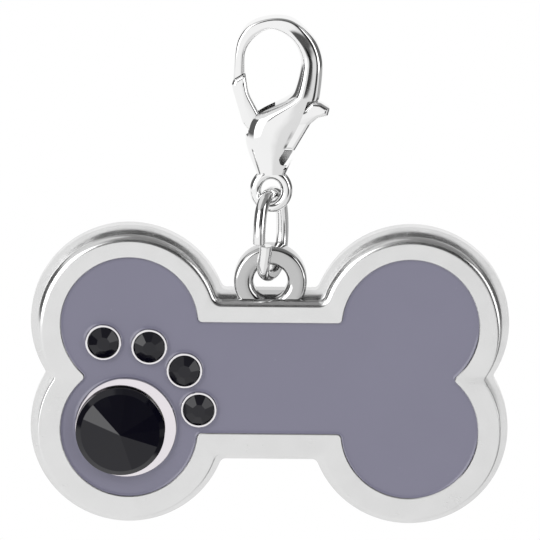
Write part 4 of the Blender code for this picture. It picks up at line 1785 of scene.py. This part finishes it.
@dataclass
class Studio:
    """Pale floor, soft lamps and a long lens at the height of the photograph, in metres."""

    elevation: float = 13.0
    roll: float = 0.5
    distance: float = 0.70
    field_mm: float = 45.09
    sensor_mm: float = 36.0
    clip: Point = (0.01, 20.0)
    aim: tuple[float, float, float] = (-0.00004, 0.0, -0.02061)
    floor_drop: float = 0.12
    floor_radius: float = 0.34
    floor_shares: tuple[float, ...] = (0.25, 0.5, 0.75, 1.0)
    floor_steps: int = 96
    floor_colour: float = 0.20
    floor_roughness: float = 0.9
    floor_grain: float = 0.2
    floor_grain_strength: float = 0.3
    floor_glow: float = 0.50
    floor_seen_glow: float = 0.35
    lamps: tuple[Lamp, ...] = (Lamp("key_lamp", (-0.35, -0.55, 0.45), 0.35, 1.6),
                               Lamp("fill_lamp", (0.45, -0.50, 0.20), 0.40, 0.8))

    def camera(self) -> bpy.types.Object:
        """Set up the camera.

        Returns:
            The camera.
        """
        data = bpy.data.cameras.new("camera")
        data.sensor_width = self.sensor_mm
        data.lens = self.sensor_mm * self.distance / (self.field_mm * MM)
        data.clip_start, data.clip_end = self.clip
        item = add_object("camera", data)
        rise = math.radians(self.elevation)
        back = Vector((0.0, -math.cos(rise), math.sin(rise)))
        turn = (-back).to_track_quat("-Z", "Y").to_matrix().to_4x4()
        tilt = Matrix.Rotation(math.radians(self.roll), 4, "Z")
        place = Matrix.Translation(Vector(self.aim) + back * self.distance)
        item.matrix_world = place @ turn @ tilt
        bpy.context.scene.camera = item
        return item

    def floor(self) -> bpy.types.Object:
        """Lay the pale floor under the hanging tag.

        Returns:
            The floor.
        """
        skin = Skin()
        rings = [skin.ring([(0.0, 0.0, -self.floor_drop)])]
        for share in self.floor_shares:
            rim = circle((0.0, 0.0), self.floor_radius * share, self.floor_steps)
            rings.append(skin.ring([(x, y, -self.floor_drop) for x, y in rim]))
        skin.chain(rings)
        item = skin.to_object("studio_floor")
        item.data.materials.append(self.floor_paint())
        return item

    def floor_paint(self) -> bpy.types.Material:
        """White floor that keeps a soft shadow and can't be seen from below.

        Returns:
            The paint.
        """
        material, bench, shader = new_surface("floor_paint")
        paper = bench.noise(bench.place(), per_metre=900.0, detail=4.0)
        grey = self.floor_colour
        bench.feed(shader, Base_Color=(grey, grey, grey, 1.0), Roughness=self.floor_roughness,
                   Normal=bench.bump(paper, self.floor_grain, self.floor_grain_strength))
        path = bench.add("ShaderNodeLightPath").outputs
        seen = bench.math("MAXIMUM", path["Is Camera Ray"], path["Is Glossy Ray"])
        seen = bench.math("MAXIMUM", seen, path["Is Transmission Ray"])
        glow = bench.add("ShaderNodeEmission")
        level = bench.math("MULTIPLY_ADD", seen, self.floor_seen_glow, self.floor_glow)
        bench.feed(glow, Color=WHITE, Strength=level)
        both = bench.add("ShaderNodeAddShader")
        bench.plug(both.inputs[0], shader.outputs["BSDF"])
        bench.plug(both.inputs[1], glow.outputs["Emission"])
        mix = bench.add("ShaderNodeMixShader")
        bench.plug(mix.inputs[0], bench.add("ShaderNodeNewGeometry").outputs["Backfacing"])
        bench.plug(mix.inputs[1], both.outputs["Shader"])
        bench.plug(mix.inputs[2], bench.add("ShaderNodeBsdfTransparent").outputs["BSDF"])
        output = material.node_tree.nodes["Material Output"]
        bench.plug(output.inputs["Surface"], mix.outputs["Shader"])
        return material

    def hang(self, lamp: Lamp) -> bpy.types.Object:
        """Hang a lamp.

        Args:
            lamp: Its place, size and strength.

        Returns:
            The lamp as an object.
        """
        data = bpy.data.lights.new(lamp.name, "AREA")
        data.shape = "SQUARE"
        data.size = lamp.size
        data.energy = lamp.watts
        item = add_object(lamp.name, data)
        where = Vector(lamp.place)
        item.location = where
        item.rotation_euler = (Vector(self.aim) - where).to_track_quat("-Z", "Y").to_euler()
        item.visible_glossy = False
        item.visible_camera = False
        return item

    def build(self) -> None:
        """Set up the camera, the floor, the lamps and the room."""
        self.camera()
        self.floor()
        for lamp in self.lamps:
            self.hang(lamp)
        Room().build()
        bpy.context.scene.view_settings.view_transform = "Standard"


def report(label: str, pieces: Sequence[bpy.types.Object]) -> None:
    """Log each piece with its count of points."""
    for piece in pieces:
        LOG.info("%s: %s, %d points", label, piece.name, len(piece.data.vertices))


def clear_start_scene() -> None:
    """Remove what Blender's start file holds."""
    for item in list(bpy.data.objects):
        bpy.data.objects.remove(item, do_unlink=True)


def main() -> None:
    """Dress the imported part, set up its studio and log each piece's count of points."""
    logging.basicConfig(level=logging.INFO, format="%(name)s: %(message)s")
    clear_start_scene()
    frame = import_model()
    finishes = Finishes.make()
    bone, places = BoneShape(), StonePlaces()
    report("tag", [TagCasting(bone, places).build(finishes)])
    report("filling", [ResinFilling(bone, places).build(finishes)])
    report("stones", CutStones(places).build(finishes))
    report("ring", [JumpRing().build(finishes)])
    report("clasp", LobsterClasp().build(finishes))
    report("beds", CementBeds().build(frame["nodes"], finishes))
    Studio().build()


if __name__ == "__main__":
    main()
